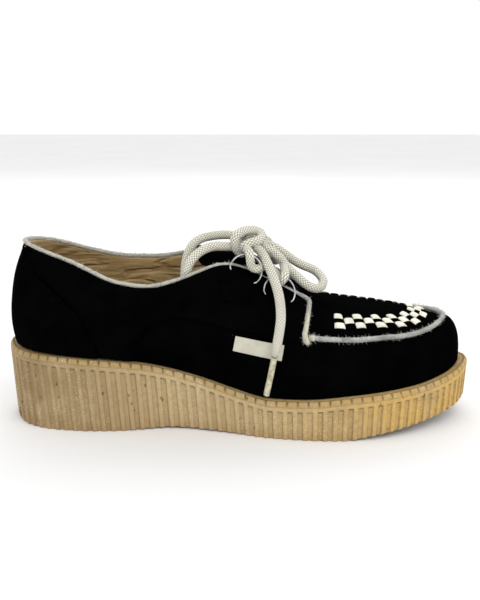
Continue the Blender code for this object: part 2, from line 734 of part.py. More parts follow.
def band_places():
    """Places round the apron line at even distances, as side and line."""
    lines = [(-1, line) for line in np.linspace(FRONT_LINE + 2, LINES, 121)]
    lines += [(1, line) for line in np.linspace(LINES, FRONT_LINE + 2, 121)[1:]]
    points = np.array([on_face(side, line, LOW_STEPS)[0] for side, line in lines])
    run = np.concatenate([[0], np.cumsum(np.linalg.norm(np.diff(points, axis=0), axis=1))])
    count = round(run[-1] / CELL_LENGTH)
    places = []
    for k in range(count + 1):
        spot = np.interp(run[-1] * k / count, run, range(len(lines)))
        a = min(int(spot), len(lines) - 2)
        side = lines[a + 1][0] if lines[a][0] > 0 or spot > 120 else lines[a][0]
        low, high = lines[a][1], lines[a + 1][1]
        places.append((side, low + (high - low) * (spot - a)))
    return places


def step_at(side, line, distance):
    """The step above the apron line at a distance along the face."""
    gone = 0.0
    last = on_face(side, line, LOW_STEPS)[0]
    for step in np.linspace(LOW_STEPS, LOW_STEPS + HIGH_STEPS - 0.02, 90)[1:]:
        point = on_face(side, line, step)[0]
        gone += np.linalg.norm(point - last)
        if gone >= distance:
            return float(step)
        last = point
    return float(LOW_STEPS + HIGH_STEPS - 0.1)


def build_interlace(material):
    places = band_places()
    width = BAND_ROWS + 1
    points = []
    for side, line in places:
        for row in range(width):
            step = step_at(side, line, BAND_START + row * CELL_WIDTH)
            points.append(on_face(side, line, step, GAP * 1.6)[0])
    mesh = bpy.data.meshes.new("interlace")
    faces = []
    for a in range(len(places) - 1):
        for row in range(BAND_ROWS):
            near, far = a * width + row, (a + 1) * width + row
            faces.append((near, far, far + 1, near + 1))
    mesh.from_pydata([tuple(point) for point in points], [], faces)
    work = bmesh.new()
    work.from_mesh(mesh)
    work.faces.ensure_lookup_table()
    white = [work.faces[k] for k in range(len(work.faces)) if (k // BAND_ROWS + k % BAND_ROWS) % 2 == 0]
    bmesh.ops.inset_individual(work, faces=white, thickness=CELL_RISE * 0.8, depth=CELL_RISE)
    work.to_mesh(mesh)
    work.free()
    return add_shell(make_object("interlace", mesh, material), BAND_THICKNESS, 1.0)


def patch(name, side, middle, along, across, outline, lift, thickness, material):
    """A small piece laid on one side of the upper.

    middle is x and z; along and across are directions in x and z; outline gives, for each row, its
    distance along and its half width.
    """
    rows = []
    for reach, half in outline:
        row = []
        for k in range(5):
            offset = (k / 2 - 1) * half
            x = middle[0] + along[0] * reach + across[0] * offset
            z = middle[1] + along[1] * reach + across[1] * offset
            row.append(on_face(side, *find_place(side, x, z), lift)[0])
        rows.append(row)
    first = np.cross(np.array(rows[1][2]) - rows[0][2], np.array(rows[0][3]) - rows[0][2])
    if first[1] * side < 0:
        rows = rows[::-1]
    return sheet(name, rows, material, thickness)


def side_place(share):
    return ((share[0] - 0.5) * SOLE_LENGTH, share[1] * COLLAR_HEIGHT)


def ring_frame(side, key, turn):
    """The ring's middle, the direction of its straight side, of its reach and of its face."""
    x, z = side_place(RINGS[key][0 if side < 0 else 1])
    line, step = find_place(side, x, z)
    level = 1.5 * GAP + QUARTER_LEATHER + GAP + RING_WIRE / 2
    middle, normal = on_face(side, line, step, level)
    ahead = on_face(side, line + 0.5, step, level)[0] - on_face(side, line - 0.5, step, level)[0]
    edge = on_face(side, line + 0.8, 10.0)[0] - on_face(side, line - 0.8, 10.0)[0]
    across = unit(edge - normal * np.dot(edge, normal))
    reach = unit(np.cross(normal, across))
    if reach[2] < 0:
        reach = -reach
    turn = math.radians(turn)
    across, reach = (
        across * math.cos(turn) - reach * math.sin(turn), reach * math.cos(turn) + across * math.sin(turn),
    )
    lift = math.radians(RING_LIFT_DEG)
    reach = unit(reach * math.cos(lift) + normal * math.sin(lift))
    return middle, across, reach, normal


def build_ring(name, side, key, material):
    middle, across, reach, normal = ring_frame(side, key, RINGS[key][2])
    half = RING_WIDTH / 2
    below = (RING_REACH - half) / half
    start = -math.asin(below)
    arc = [
        middle + across * half * math.cos(angle) + reach * half * (below + math.sin(angle))
        for angle in np.linspace(start, math.pi - start, 15)
    ]
    points = arc + [middle - across * half * 0.4, middle + across * half * 0.4]
    return tube(name, points, RING_WIRE, material, cyclic=True, resolution=1, caps=False)


def build_tab(name, side, key, material):
    middle, across, reach, normal = ring_frame(side, key, RINGS[key][3])
    lift = 1.5 * GAP + QUARTER_LEATHER + GAP
    down = unit(np.array([-reach[0], -reach[2]]) + normal[[0, 2]] * math.sin(math.radians(RING_LIFT_DEG)))
    sideways = unit(across[[0, 2]])
    half = TAB_WIDTH / 2
    start = RING_WIRE / 2 + 3 * GAP
    straight = TAB_LENGTH - half
    outline = [(start, half * 0.90), (start + straight * 0.45, half)]
    for angle in np.linspace(0, 78, 5):
        turn = math.radians(angle)
        outline.append((straight + half * math.sin(turn), half * math.cos(turn)))
    flat = math.hypot(reach[1], 0)
    steep = max(0.45, math.sqrt(max(0.05, 1 - flat**2)))
    outline = [(reach_along * steep, width) for reach_along, width in outline]
    spot = (middle[0] - normal[0] * lift, middle[2] - normal[2] * lift)
    return patch(name, side, spot, down, sideways, outline, lift, TAB_LEATHER, material)


def build_label(material):
    turn = math.radians(LABEL_SLOPE_DEG)
    ahead = (math.cos(turn), math.sin(turn))
    up = (-math.sin(turn), math.cos(turn))
    half = LABEL_HEIGHT / 2
    outline = [(offset, half) for offset in np.linspace(-LABEL_LENGTH / 2, LABEL_LENGTH / 2, 6)]
    middle = side_place(LABEL_PLACE)
    return patch("side_label", -1, middle, ahead, up, outline, GAP * 1.3, LABEL_THICKNESS, material)


def solid_of(item):
    """A curve made into a closed mesh object in its place."""
    bpy.context.view_layer.update()
    graph = bpy.context.evaluated_depsgraph_get()
    mesh = bpy.data.meshes.new_from_object(item.evaluated_get(graph))
    work = bmesh.new()
    work.from_mesh(mesh)
    bmesh.ops.remove_doubles(work, verts=work.verts, dist=0.00002)
    bmesh.ops.recalc_face_normals(work, faces=work.faces)
    work.to_mesh(mesh)
    work.free()
    solid = bpy.data.objects.new(item.name + "_solid", mesh)
    solid.matrix_world = item.matrix_world
    bpy.data.objects.remove(item, do_unlink=True)
    return solid


def lace_turn(side, key):
    """Where the lace leaves a ring: inside the facing's edge, above the tongue."""
    x, z = side_place(RINGS[key][0 if side < 0 else 1])
    line = find_place(side, x, z)[0]
    point, normal = on_face(side, line, 10.0)
    up = unit(point - on_face(side, line, 9.0)[0])
    return point + up * (COLLAR_PIPING + 1.3 * GAP + 0.42 * LACE) + normal * 0.36 * LACE


def build_crossings(material):
    """The lace between the rings: one bar, two crossed runs, and the run that rises to the knot."""
    ends = {(side, key): lace_turn(side, key) for side in (-1, 1) for key in ("a", "b")}
    arch = np.array([0, 0, LACE * 0.35])
    under_knot = to_metres(KNOT_MIDDLE)
    under_knot[2] -= KNOT_SIZE[2] / 2 + LACE / 2 + 1.5 * GAP

    def run(start, stop):
        way = []
        for share in np.linspace(0, 1, 5):
            way.append(start * (1 - share) + stop * share + arch * math.sin(math.pi * share))
        return way

    runs = [
        run(ends[-1, "b"], ends[1, "b"]),
        run(ends[-1, "b"], ends[1, "a"]),
        run(ends[1, "b"], ends[-1, "a"]),
        smooth_line([ends[-1, "a"], under_knot, ends[1, "a"]], 4),
    ]
    solids = [solid_of(tube(f"lace_run_{k}", way, LACE, material)) for k, way in enumerate(runs)]
    body = solids[0]
    body.name = "lace_crossings"
    shoe.objects.link(body)
    for other in solids[1:]:
        cutters.objects.link(other)
        other.hide_render = True
        other.display_type = "WIRE"
        join = body.modifiers.new("join", "BOOLEAN")
        join.operation = "UNION"
        join.solver = "EXACT"
        join.object = other
    return body


def knot_exit(direction):
    """Two points square to the knot's face, where a strand leaves it."""
    half = np.array(KNOT_SIZE) / 2
    direction = unit(np.array(direction))
    middle = to_metres(KNOT_MIDDLE)
    square = unit(direction / half)
    face = middle + direction * half
    return [face + square * GAP, face + square * LACE * 0.45]


def build_cords(lace, tip):
    for name, (start, stop), route in (
        ("lace_loop_heel", HEEL_LOOP_ENDS, HEEL_LOOP),
        ("lace_loop_toe", TOE_LOOP_ENDS, TOE_LOOP),
    ):
        way = knot_exit(start) + in_metres(route) + knot_exit(stop)[::-1]
        tube(name, way, LACE, lace)
    tube("lace_end_outer", knot_exit(OUTER_END_START) + in_metres(OUTER_END), LACE, lace)
    tube("lace_end_inner", knot_exit(INNER_END_START) + in_metres(INNER_END), LACE, lace)
    tube("lace_tip_outer", in_metres(OUTER_TIP), LACE_TIP, tip)
    tube("lace_tip_inner", in_metres(INNER_TIP), LACE_TIP, tip)
    mesh = bpy.data.meshes.new("lace_knot")
    work = bmesh.new()
    bmesh.ops.create_uvsphere(work, u_segments=14, v_segments=8, radius=0.5)
    bmesh.ops.scale(work, vec=Vector(KNOT_SIZE), verts=work.verts)
    work.to_mesh(mesh)
    work.free()
    knot = make_object("lace_knot", mesh, lace)
    knot.location = to_metres(KNOT_MIDDLE)


clear_scene()
shoe = bpy.data.collections.new("creeper_shoe")
cutters = bpy.data.collections.new("cutters")
bpy.context.scene.collection.children.link(shoe)
bpy.context.scene.collection.children.link(cutters)

GRID, NORMALS = upper_grid()

gum = make_material("gum rubber", (0.42, 0.24, 0.09), 0.6)
strip = make_material("tan welt", (0.46, 0.27, 0.10), 0.55)
board = make_material("insole leather", (0.30, 0.17, 0.08), 0.6)
suede = make_material("black suede", (0.012, 0.012, 0.013), 0.95)
quarter_suede = make_material("black suede quarter", (0.013, 0.013, 0.014), 0.95)
piping = make_material("grey piping", (0.48, 0.47, 0.43), 0.8)
weave = make_material("cream strips", (0.62, 0.60, 0.54), 0.75)
steel = make_material("bright wire", (0.72, 0.72, 0.72), 0.25, 1.0)
white = make_material("white patch", (0.78, 0.78, 0.76), 0.6)
cotton = make_material("cream lace", (0.70, 0.62, 0.47), 0.85)
film = make_material("lace tip film", (0.66, 0.57, 0.42), 0.35)

build_sole(gum)
build_welt(strip)
build_insole(board)
build_upper(suede)
build_quarter("quarter_outer", -1, quarter_suede)
build_quarter("quarter_inner", 1, quarter_suede)
build_counter(quarter_suede)
build_tongue(suede)
build_collar_piping(piping)
build_apron_piping(piping)
build_interlace(weave)
for side, word in ((-1, "outer"), (1, "inner")):
    for key in ("a", "b"):
        build_ring(f"ring_{key}_{word}", side, key, steel)
        build_tab(f"tab_{key}_{word}", side, key, quarter_suede)
build_label(white)
build_crossings(cotton)
build_cords(cotton, film)
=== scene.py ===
import math

import bpy
import numpy as np
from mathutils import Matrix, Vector, noise
from mathutils.bvhtree import BVHTree


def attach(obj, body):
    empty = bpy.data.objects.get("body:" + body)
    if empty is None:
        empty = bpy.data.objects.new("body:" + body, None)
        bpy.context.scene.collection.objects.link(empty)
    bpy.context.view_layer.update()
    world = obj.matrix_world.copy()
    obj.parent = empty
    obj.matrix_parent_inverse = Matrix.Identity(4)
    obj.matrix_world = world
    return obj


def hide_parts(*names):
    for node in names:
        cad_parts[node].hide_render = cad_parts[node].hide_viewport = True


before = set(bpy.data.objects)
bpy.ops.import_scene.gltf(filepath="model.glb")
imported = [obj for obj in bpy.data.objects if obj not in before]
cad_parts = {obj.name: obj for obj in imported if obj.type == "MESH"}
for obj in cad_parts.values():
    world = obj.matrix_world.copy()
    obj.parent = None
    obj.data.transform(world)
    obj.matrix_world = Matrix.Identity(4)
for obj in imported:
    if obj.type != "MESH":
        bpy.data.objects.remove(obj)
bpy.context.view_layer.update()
print("shoe: frame loaded,", len(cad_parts), "nodes")

shoeLength = 0.275
shoeWidth = 0.102

# the picture is 480 by 600, taken from a low stand beside the shoe
viewPoint = {"place": (0.0, -0.470, 0.178), "downDeg": 13.06, "lens": 48.84, "sensor": 36.0}


def setCamera():
    turn = math.radians(90 - viewPoint["downDeg"])
    bpy.ops.object.camera_add(location=viewPoint["place"], rotation=(turn, 0, 0))
    camera = bpy.context.object
    camera.name = "camera"
    camera.data.sensor_fit = "VERTICAL"
    camera.data.sensor_height = viewPoint["sensor"]
    camera.data.lens = viewPoint["lens"]
    bpy.context.scene.camera = camera


def deselectAll():
    bpy.ops.object.select_all(action="DESELECT")


def pick(piece):
    deselectAll()
    piece.select_set(True)
    bpy.context.view_layer.objects.active = piece


def applyModifiers(piece):
    pick(piece)
    for modifier in list(piece.modifiers):
        bpy.ops.object.modifier_apply(modifier=modifier.name)


def smooth(piece, degrees=40):
    pick(piece)
    bpy.ops.object.shade_smooth_by_angle(angle=math.radians(degrees))


def joinAll(pieces, name):
    deselectAll()
    for piece in pieces:
        piece.select_set(True)
    bpy.context.view_layer.objects.active = pieces[0]
    bpy.ops.object.join()
    pieces[0].name = name
    return pieces[0]


def dress(piece, finish, slot, *nodes):
    # material, a slot that is not used, the solids it stands for, and the body it rides on
    piece.data.materials.clear()
    piece.data.materials.append(finish.material)
    if nodes:
        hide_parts(*nodes)
    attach(piece, "root")


class Flow:
    # a node's output that can be used in sums

    def __init__(self, finish, output):
        self.finish = finish
        self.output = output

    def math(self, operation, first, second=None):
        return self.finish.add("ShaderNodeMath", {"operation": operation}, {0: first, 1: second})

    def __add__(self, other):
        return self.math("ADD", self, other)

    def __radd__(self, other):
        return self.math("ADD", other, self)

    def __sub__(self, other):
        return self.math("SUBTRACT", self, other)

    def __rsub__(self, other):
        return self.math("SUBTRACT", other, self)

    def __mul__(self, other):
        return self.math("MULTIPLY", self, other)

    def __rmul__(self, other):
        return self.math("MULTIPLY", other, self)

    def __truediv__(self, other):
        return self.math("DIVIDE", self, other)

    def __pow__(self, other):
        return self.math("POWER", self, other)

    def wave(self):
        return self.math("SINE", self)

    def size(self):
        return self.math("ABSOLUTE", self)

    def most(self, other):
        return self.math("MAXIMUM", self, other)

    def least(self, other):
        return self.math("MINIMUM", self, other)

    def between(self, low, high):
        # 0 at low and 1 at high, eased
        settings = {"interpolation_type": "SMOOTHSTEP"}
        return self.finish.add("ShaderNodeMapRange", settings, {0: self, 1: low, 2: high, 3: 0.0, 4: 1.0})


class Finish:
    # one material: its Principled shader, and nodes added in front of it

    def __init__(self, name, **values):
        self.material = bpy.data.materials.new(name)
        self.material.use_nodes = True
        self.tree = self.material.node_tree
        self.shader = self.tree.nodes["Principled BSDF"]
        for label, value in values.items():
            self.shader.inputs[label.replace("_", " ")].default_value = value

    def add(self, kind, settings=None, inputs=None, output=0):
        node = self.tree.nodes.new(kind)
        for key, value in (settings or {}).items():
            setattr(node, key, value)
        for key, value in (inputs or {}).items():
            self.feed(node.inputs[key], value)
        return Flow(self, node.outputs[output])

    def feed(self, target, value):
        if isinstance(value, Flow):
            self.tree.links.new(value.output, target)
        elif value is not None:
            target.default_value = value

    def place(self):
        return self.add("ShaderNodeTexCoord", output="Object")

    def axes(self):
        split = self.add("ShaderNodeSeparateXYZ", {}, {0: self.place()})
        node = split.output.node
        return [Flow(self, node.outputs[k]) for k in range(3)]

    def kept(self, name):
        # a number stored on the mesh
        return self.add("ShaderNodeAttribute", {"attribute_name": name}, {}, "Fac")

    def noise(self, scale, detail=3.0, roughness=0.55, vector=None):
        inputs = {"Vector": vector or self.place(), "Scale": scale, "Detail": detail, "Roughness": roughness}
        return self.add("ShaderNodeTexNoise", {}, inputs)

    def cells(self, scale, vector=None, feature="F1"):
        inputs = {"Vector": vector or self.place(), "Scale": scale}
        return self.add("ShaderNodeTexVoronoi", {"feature": feature}, inputs)

    def stretched(self, x, y, z):
        inputs = {"Vector": self.place(), "Scale": (x, y, z)}
        return self.add("ShaderNodeMapping", {}, inputs)

    def mix(self, amount, first, second, blend="MIX"):
        settings = {"data_type": "RGBA", "blend_type": blend, "clamp_factor": True}
        return self.add("ShaderNodeMix", settings, {0: amount, 6: first, 7: second}, 2)

    def bump(self, height, strength, distance, below=None):
        inputs = {"Height": height, "Strength": strength, "Distance": distance, "Normal": below}
        return self.add("ShaderNodeBump", {}, inputs)

    def finishWith(self, colour=None, roughness=None, normal=None):
        for label, value in (("Base Color", colour), ("Roughness", roughness), ("Normal", normal)):
            if value is not None:
                self.feed(self.shader.inputs[label], value)
        return self


def rubberFinish(name, tones, grooveShadeTone):
    # greyer and darker at the heel, yellower and brighter in front, the darkening towards the heel being partly painted
    # shade; with grain, pale scuffs, specks and scratches, and painted shade in the grooves
    rubber = Finish(name, Specular_IOR_Level=0.30)
    x, y, z = rubber.axes()
    # heel to toe: the rubber's own greyer heel and yellower front, with a darker heel that is partly painted shade
    tone = rubber.mix((x + 0.115) / 0.075, (*tones[0], 1), (*tones[1], 1))
    tone = rubber.mix((x - 0.0) / 0.10, tone, (*tones[2], 1))
    patchy = rubber.noise(44.0, 5.0, 0.65).between(0.40, 0.68)
    tone = rubber.mix(patchy * 0.40, tone, (0.56, 0.43, 0.245, 1))
    grime = rubber.noise(23.0, 5.0, 0.7).between(0.52, 0.75)
    tone = rubber.mix(grime * 0.35, tone, (0.20, 0.145, 0.075, 1))
    tone = rubber.mix((0.008 - z) / 0.009 * (1 - rubber.noise(30.0, 3.0) * 0.9), tone, (0.34, 0.20, 0.085, 1))
    mottle = rubber.noise(430.0, 5.0, 0.80).between(0.36, 0.66)
    tone = rubber.mix(mottle * (rubber.kept("groove_shade") * 0.7 + 0.24), tone, (0.23, 0.155, 0.07, 1))
    crumb = (1 - rubber.cells(640.0).between(0.10, 0.34)) * rubber.noise(50.0, 3.0).between(0.38, 0.60)
    tone = rubber.mix(crumb * 0.55, tone, (0.74, 0.62, 0.40, 1))
    scuff = rubber.noise(300.0, 3.0, 0.6, rubber.stretched(1.0, 1.0, 0.16)).between(0.60, 0.72)
    tone = rubber.mix(scuff * patchy * 0.35, tone, (0.70, 0.58, 0.38, 1))
    speck = 1 - rubber.cells(230.0, rubber.stretched(1.0, 1.0, 0.7)).between(0.10, 0.24)
    scarce = rubber.noise(75.0, 2.0).between(0.52, 0.60)
    tone = rubber.mix(speck * scarce * 0.80, tone, (0.09, 0.055, 0.03, 1))
    scratch = (rubber.noise(26.0, 2.0, 0.5, rubber.stretched(0.35, 0.35, 2.4)) - 0.5).size()
    tone = rubber.mix((1 - scratch.between(0.0, 0.006)) * grime.most(0.25) * 0.6, tone, (0.15, 0.10, 0.055, 1))
    # painted shade in the grooves, along one flank of each rib and under the lip, from the shade amount kept on the
    # mesh
    tone = rubber.mix(rubber.kept("groove_shade") * grooveShadeTone, tone, (0.105, 0.065, 0.028, 1))
    grain = rubber.noise(1500.0, 2.0) * 0.5 + rubber.noise(420.0, 3.0) - mottle * 0.7 + crumb * 0.4
    rough = rubber.noise(90.0, 3.0) * 0.25 + 0.52
    return rubber.finishWith(tone, rough, rubber.bump(grain, 0.45, 0.00030))


def treadFinish():
    # the underside: rows of small lozenges, worn smooth in patches
    tread = Finish("tread rubber", Specular_IOR_Level=0.30)
    x, y, z = tread.axes()
    lozenges = ((x + y) * 900.0).wave() * ((x - y) * 900.0).wave()
    raised = lozenges.size().between(0.05, 0.35)
    worn = tread.noise(30.0, 4.0, 0.6).between(0.35, 0.7)
    tone = tread.mix(worn, (0.34, 0.25, 0.13, 1), (0.20, 0.15, 0.09, 1))
    # painted shade between the raised lozenges
    tone = tread.mix((1 - raised) * 0.6, tone, (0.09, 0.065, 0.04, 1))
    height = raised * (1 - worn * 0.4) + tread.noise(500.0, 3.0) * 0.2
    return tread.finishWith(tone, worn * 0.15 + 0.5, tread.bump(height, 0.8, 0.0006))


def suedeFinish(name, tone):
    suede = Finish(name, Specular_IOR_Level=0.002, Sheen_Weight=0.0003, Sheen_Roughness=0.5)
    nap = suede.noise(60.0, 4.0, 0.6).between(0.30, 0.75)
    colour = suede.mix(nap, (tone * 0.6, tone * 0.66, tone * 0.68, 1), (tone * 1.5, tone * 1.6, tone * 1.6, 1))
    dust = 1 - suede.cells(260.0).between(0.05, 0.10)
    rare = suede.noise(33.0, 2.0).between(0.66, 0.70)
    colour = suede.mix(dust * rare * 0.35, colour, (0.10, 0.095, 0.085, 1))
    fibre = suede.noise(2600.0, 2.0) + suede.noise(700.0, 3.0) * 1.2
    return suede.finishWith(colour, 0.95, suede.bump(fibre, 0.5, 0.00022))


def liningFinish():
    # worn tan leather with broad soft creases; painted shade darkens it towards the heel, in the creases and along
    # their fine lines
    lining = Finish("tan lining", Specular_IOR_Level=0.3)
    x, y, z = lining.axes()
    worn = lining.noise(30.0, 4.0, 0.6).between(0.3, 0.7)
    colour = lining.mix(worn, (0.42, 0.295, 0.13, 1), (0.57, 0.425, 0.21, 1))
    # painted shade towards the heel
    colour = lining.mix((-0.035 - x).between(0.0, 0.085) * 0.55, colour, (0.27, 0.17, 0.075, 1))
    line = (lining.noise(30.0, 3.0, 0.55, lining.stretched(0.5, 0.5, 2.2)) - 0.5).size()
    # painted shade along fine crease lines
    colour = lining.mix((1 - line.between(0.0, 0.022)) * 0.34, colour, (0.17, 0.105, 0.045, 1))
    crease = lining.noise(30.0, 3.0, 0.5, lining.stretched(0.5, 0.5, 2.8))
    # painted shade in the broad creases
    colour = lining.mix(crease.between(0.46, 0.30) * 0.30, colour, (0.30, 0.20, 0.09, 1))
    grain = lining.cells(1300.0) * 0.06 + crease * 1.3 + line.between(0.0, 0.06) * 0.3
    return lining.finishWith(colour, 0.55, lining.bump(grain, 1.0, 0.0028))


def edgeFinish():
    # a raw edge: grey, soiled, and creamier at the low front end of the facings
    edge = Finish("grey raw edge", Specular_IOR_Level=0.2, Sheen_Weight=0.25)
    x, y, z = edge.axes()
    soiled = edge.noise(85.0, 4.0, 0.65).between(0.35, 0.75)
    colour = edge.mix(soiled, (0.46, 0.455, 0.42, 1), (0.20, 0.198, 0.185, 1))
    colour = edge.mix((0.01 - x).between(0.0, 0.05) * 0.7, colour, (0.50, 0.475, 0.40, 1))
    front = x.between(0.026, 0.031) * (1 - x.between(0.0405, 0.0415)) * (0.074 - z).between(0.0, 0.010)
    colour = edge.mix(front, colour, (0.60, 0.58, 0.45, 1))
    streak = edge.noise(700.0, 3.0, 0.6).between(0.45, 0.75)
    colour = edge.mix(streak * 0.6, colour, (0.09, 0.09, 0.09, 1))
    pale = edge.noise(900.0, 3.0, 0.7).between(0.55, 0.72)
    colour = edge.mix(pale * 0.5, colour, (0.74, 0.74, 0.70, 1))
    fibre = edge.noise(1900.0, 2.0) + edge.noise(600.0, 3.0)
    return edge.finishWith(colour, 0.9, edge.bump(fibre, 0.9, 0.0004))


def stripFinish():
    strip = Finish("cream strip", Specular_IOR_Level=0.35)
    worn = strip.noise(140.0, 4.0, 0.6).between(0.35, 0.75)
    colour = strip.mix(worn, (0.80, 0.78, 0.66, 1), (0.62, 0.60, 0.50, 1))
    grain = strip.cells(1600.0) * 0.5 + strip.noise(500.0, 3.0)
    return strip.finishWith(colour, 0.55, strip.bump(grain, 0.35, 0.0002))


def wireFinish():
    wire = Finish("bright wire", Metallic=1.0)
    rub = wire.noise(400.0, 3.0).between(0.35, 0.7)
    colour = wire.mix(rub, (0.52, 0.52, 0.54, 1), (0.30, 0.30, 0.32, 1))
    return wire.finishWith(colour, rub * 0.12 + 0.16, wire.bump(wire.noise(900.0), 0.1, 0.0001))


def braidFinish():
    # along counts lengths of 2.2 mm, around runs 0 to 1 over each half of the lace
    braid = Finish("cream braid", Specular_IOR_Level=0.3, Sheen_Weight=0.2)
    around = braid.kept("around") * (2 * math.pi)
    along = braid.kept("along") * (2 * math.pi)
    left = (around * 2.2 + along * 0.62).wave()
    right = (around * 2.2 - along * 0.62).wave()
    yarn = left.size() * right.size()
    over = (left * right).between(-0.4, 0.4)
    soiled = braid.noise(70.0, 3.0, 0.6).between(0.4, 0.75)
    colour = braid.mix(soiled, (0.95, 0.93, 0.80, 1), (0.82, 0.79, 0.65, 1))
    colour = braid.mix(over * 0.35, colour, (0.90, 0.89, 0.80, 1))
    # painted shade in the gaps between the yarns
    colour = braid.mix((1 - yarn.between(0.02, 0.42)) * 0.86, colour, (0.22, 0.19, 0.115, 1))
    height = yarn.between(0.0, 0.5) * 1.2 + over * 0.4 + braid.noise(2500.0, 2.0) * 0.2
    return braid.finishWith(colour, 0.75, braid.bump(height, 1.0, 0.0006))


def plainFinish(name, light, dark, scale, roughness, grain, depth, gloss=0.3):
    plain = Finish(name, Specular_IOR_Level=gloss)
    worn = plain.noise(scale, 4.0, 0.6).between(0.35, 0.7)
    colour = plain.mix(worn, (*light, 1), (*dark, 1))
    return plain.finishWith(colour, worn * 0.1 + roughness, plain.bump(plain.noise(grain, 3.0), 0.5, depth))


def clothFinish():
    cloth = Finish("white woven patch", Specular_IOR_Level=0.25)
    x, y, z = cloth.axes()
    warp = (x * 9000.0).wave()
    weft = (z * 9000.0).wave()
    soiled = cloth.noise(120.0, 4.0, 0.6).between(0.35, 0.75)
    colour = cloth.mix(soiled, (0.57, 0.55, 0.45, 1), (0.46, 0.43, 0.34, 1))
    colour = cloth.mix((warp * weft).between(-0.6, 0.9) * 0.25, colour, (0.45, 0.43, 0.38, 1))
    return cloth.finishWith(colour, 0.8, cloth.bump(warp + weft, 0.3, 0.0001))


gum = rubberFinish("gum rubber", ((0.285, 0.195, 0.09), (0.49, 0.365, 0.19), (0.60, 0.38, 0.105)), 0.60)
weltRubber = rubberFinish("welt rubber", ((0.335, 0.225, 0.085), (0.41, 0.285, 0.115), (0.485, 0.312, 0.097)), 0.80)
tread = treadFinish()
suede = suedeFinish("black suede", 0.0009)
suedeTop = suedeFinish("black suede layers", 0.0011)
lining = liningFinish()
rawEdge = edgeFinish()
strips = stripFinish()
wire = wireFinish()
braid = braidFinish()
patchCloth = clothFinish()
tipFilm = plainFinish("lace end film", (0.60, 0.57, 0.41), (0.30, 0.28, 0.185), 520.0, 0.35, 900.0, 0.0002)
blackThread = plainFinish("black thread", (0.0006, 0.0006, 0.0006), (0.0030, 0.0030, 0.0029), 110.0, 0.9, 2000.0, 0.0001, 0.01)
footbed = plainFinish("worn footbed", (0.26, 0.17, 0.09), (0.13, 0.08, 0.045), 35.0, 0.5, 700.0, 0.0003)
print("shoe: finishes made")

# the lace, in metres from the heel, the middle plane and the ground
bow = {
    "lace": 0.005,
    "swell": 1.06,
    "tip": 0.0034,
    "knot": (0.1433, -0.0050, 0.1052),
    "knotSize": (0.0185, 0.0150, 0.0120),
    "heelLoop": [
        (0.1264, 0.0005, 0.1078), (0.1206, -0.0015, 0.1074), (0.1156, -0.0045, 0.1066), (0.1115, -0.0065, 0.1044),
        (0.1083, -0.0085, 0.0998), (0.1066, -0.0100, 0.0940), (0.1060, -0.0115, 0.0890), (0.1060, -0.0150, 0.0850),
        (0.1066, -0.0195, 0.0852), (0.1075, -0.0214, 0.0893), (0.1088, -0.0215, 0.0938), (0.1108, -0.0211, 0.0974),
        (0.1143, -0.0196, 0.1007), (0.1186, -0.0174, 0.1028), (0.1239, -0.0145, 0.1037),
    ],
    "heelLoopEnds": ((-0.88, 0.38, 0.28), (-0.86, -0.42, -0.28)),
    "toeLoop": [
        (0.1560, -0.0095, 0.1000), (0.1605, -0.0108, 0.0960), (0.1643, -0.0122, 0.0912), (0.1693, -0.0135, 0.0867),
        (0.1746, -0.0138, 0.0820), (0.1797, -0.0125, 0.0790), (0.1842, -0.0085, 0.0785), (0.1862, -0.0020, 0.0815),
        (0.1820, 0.0035, 0.0860), (0.1740, 0.0040, 0.0895), (0.1682, 0.0030, 0.0930), (0.1631, 0.0010, 0.0970),
        (0.1575, -0.0005, 0.1010),
    ],
    "toeLoopEnds": ((0.82, -0.38, -0.42), (0.80, 0.50, -0.30)),
    "outerEnd": [
        (0.1500, -0.0185, 0.1000), (0.1538, -0.0275, 0.0935), (0.1572, -0.0360, 0.0855), (0.1590, -0.0430, 0.0780),
        (0.1594, -0.0470, 0.0700), (0.1586, -0.0487, 0.0630), (0.1573, -0.0492, 0.0550), (0.1562, -0.0490, 0.0490),
    ],
    "outerStart": (0.32, -0.90, -0.30),
    "outerTip": [(0.1560, -0.0489, 0.0484), (0.1542, -0.0480, 0.0380), (0.1520, -0.0465, 0.0262)],
    "innerEnd": [
        (0.1495, 0.0125, 0.1040), (0.1545, 0.0230, 0.1005), (0.1562, 0.0340, 0.0930), (0.1562, 0.0425, 0.0825),
        (0.1552, 0.0470, 0.0715), (0.1538, 0.0490, 0.0605), (0.1522, 0.0490, 0.0520),
    ],
    "innerStart": (0.25, 0.93, -0.25),
    "innerTip": [(0.1518, 0.0489, 0.0514), (0.1505, 0.0478, 0.0410), (0.1490, 0.0460, 0.0300)],
    "wrap": [
        (0.1392, -0.0040, 0.0990), (0.1384, -0.0085, 0.0985), (0.1366, -0.0105, 0.0998), (0.1350, -0.0122, 0.1026),
        (0.1344, -0.0132, 0.1064), (0.1357, -0.0128, 0.1098), (0.1386, -0.0105, 0.1113), (0.1422, -0.0080, 0.1118),
        (0.1460, -0.0062, 0.1114), (0.1492, -0.0070, 0.1102), (0.1500, -0.0102, 0.1080), (0.1474, -0.0136, 0.1064),
        (0.1437, -0.0152, 0.1056), (0.1404, -0.0145, 0.1040), (0.1388, -0.0105, 0.1018), (0.1386, -0.0050, 0.1010),
    ],
    "back": [
        (0.1372, -0.0060, 0.1080), (0.1392, 0.0000, 0.1098), (0.1422, 0.0040, 0.1092), (0.1456, 0.0058, 0.1062),
        (0.1480, 0.0040, 0.1020), (0.1462, -0.0010, 0.1000),
    ],
    "core": [(0.1352, -0.0005, 0.1026), (0.1400, -0.0020, 0.1028), (0.1450, -0.0040, 0.1030), (0.1492, -0.0065, 0.1026)],
    "coreBack": [(0.1360, 0.0032, 0.1042), (0.1410, 0.0026, 0.1046), (0.1460, 0.0010, 0.1042), (0.1500, -0.0005, 0.1030)],
}


def fromHeel(points):
    return [Vector((x - shoeLength / 2, y, z)) for x, y, z in points]


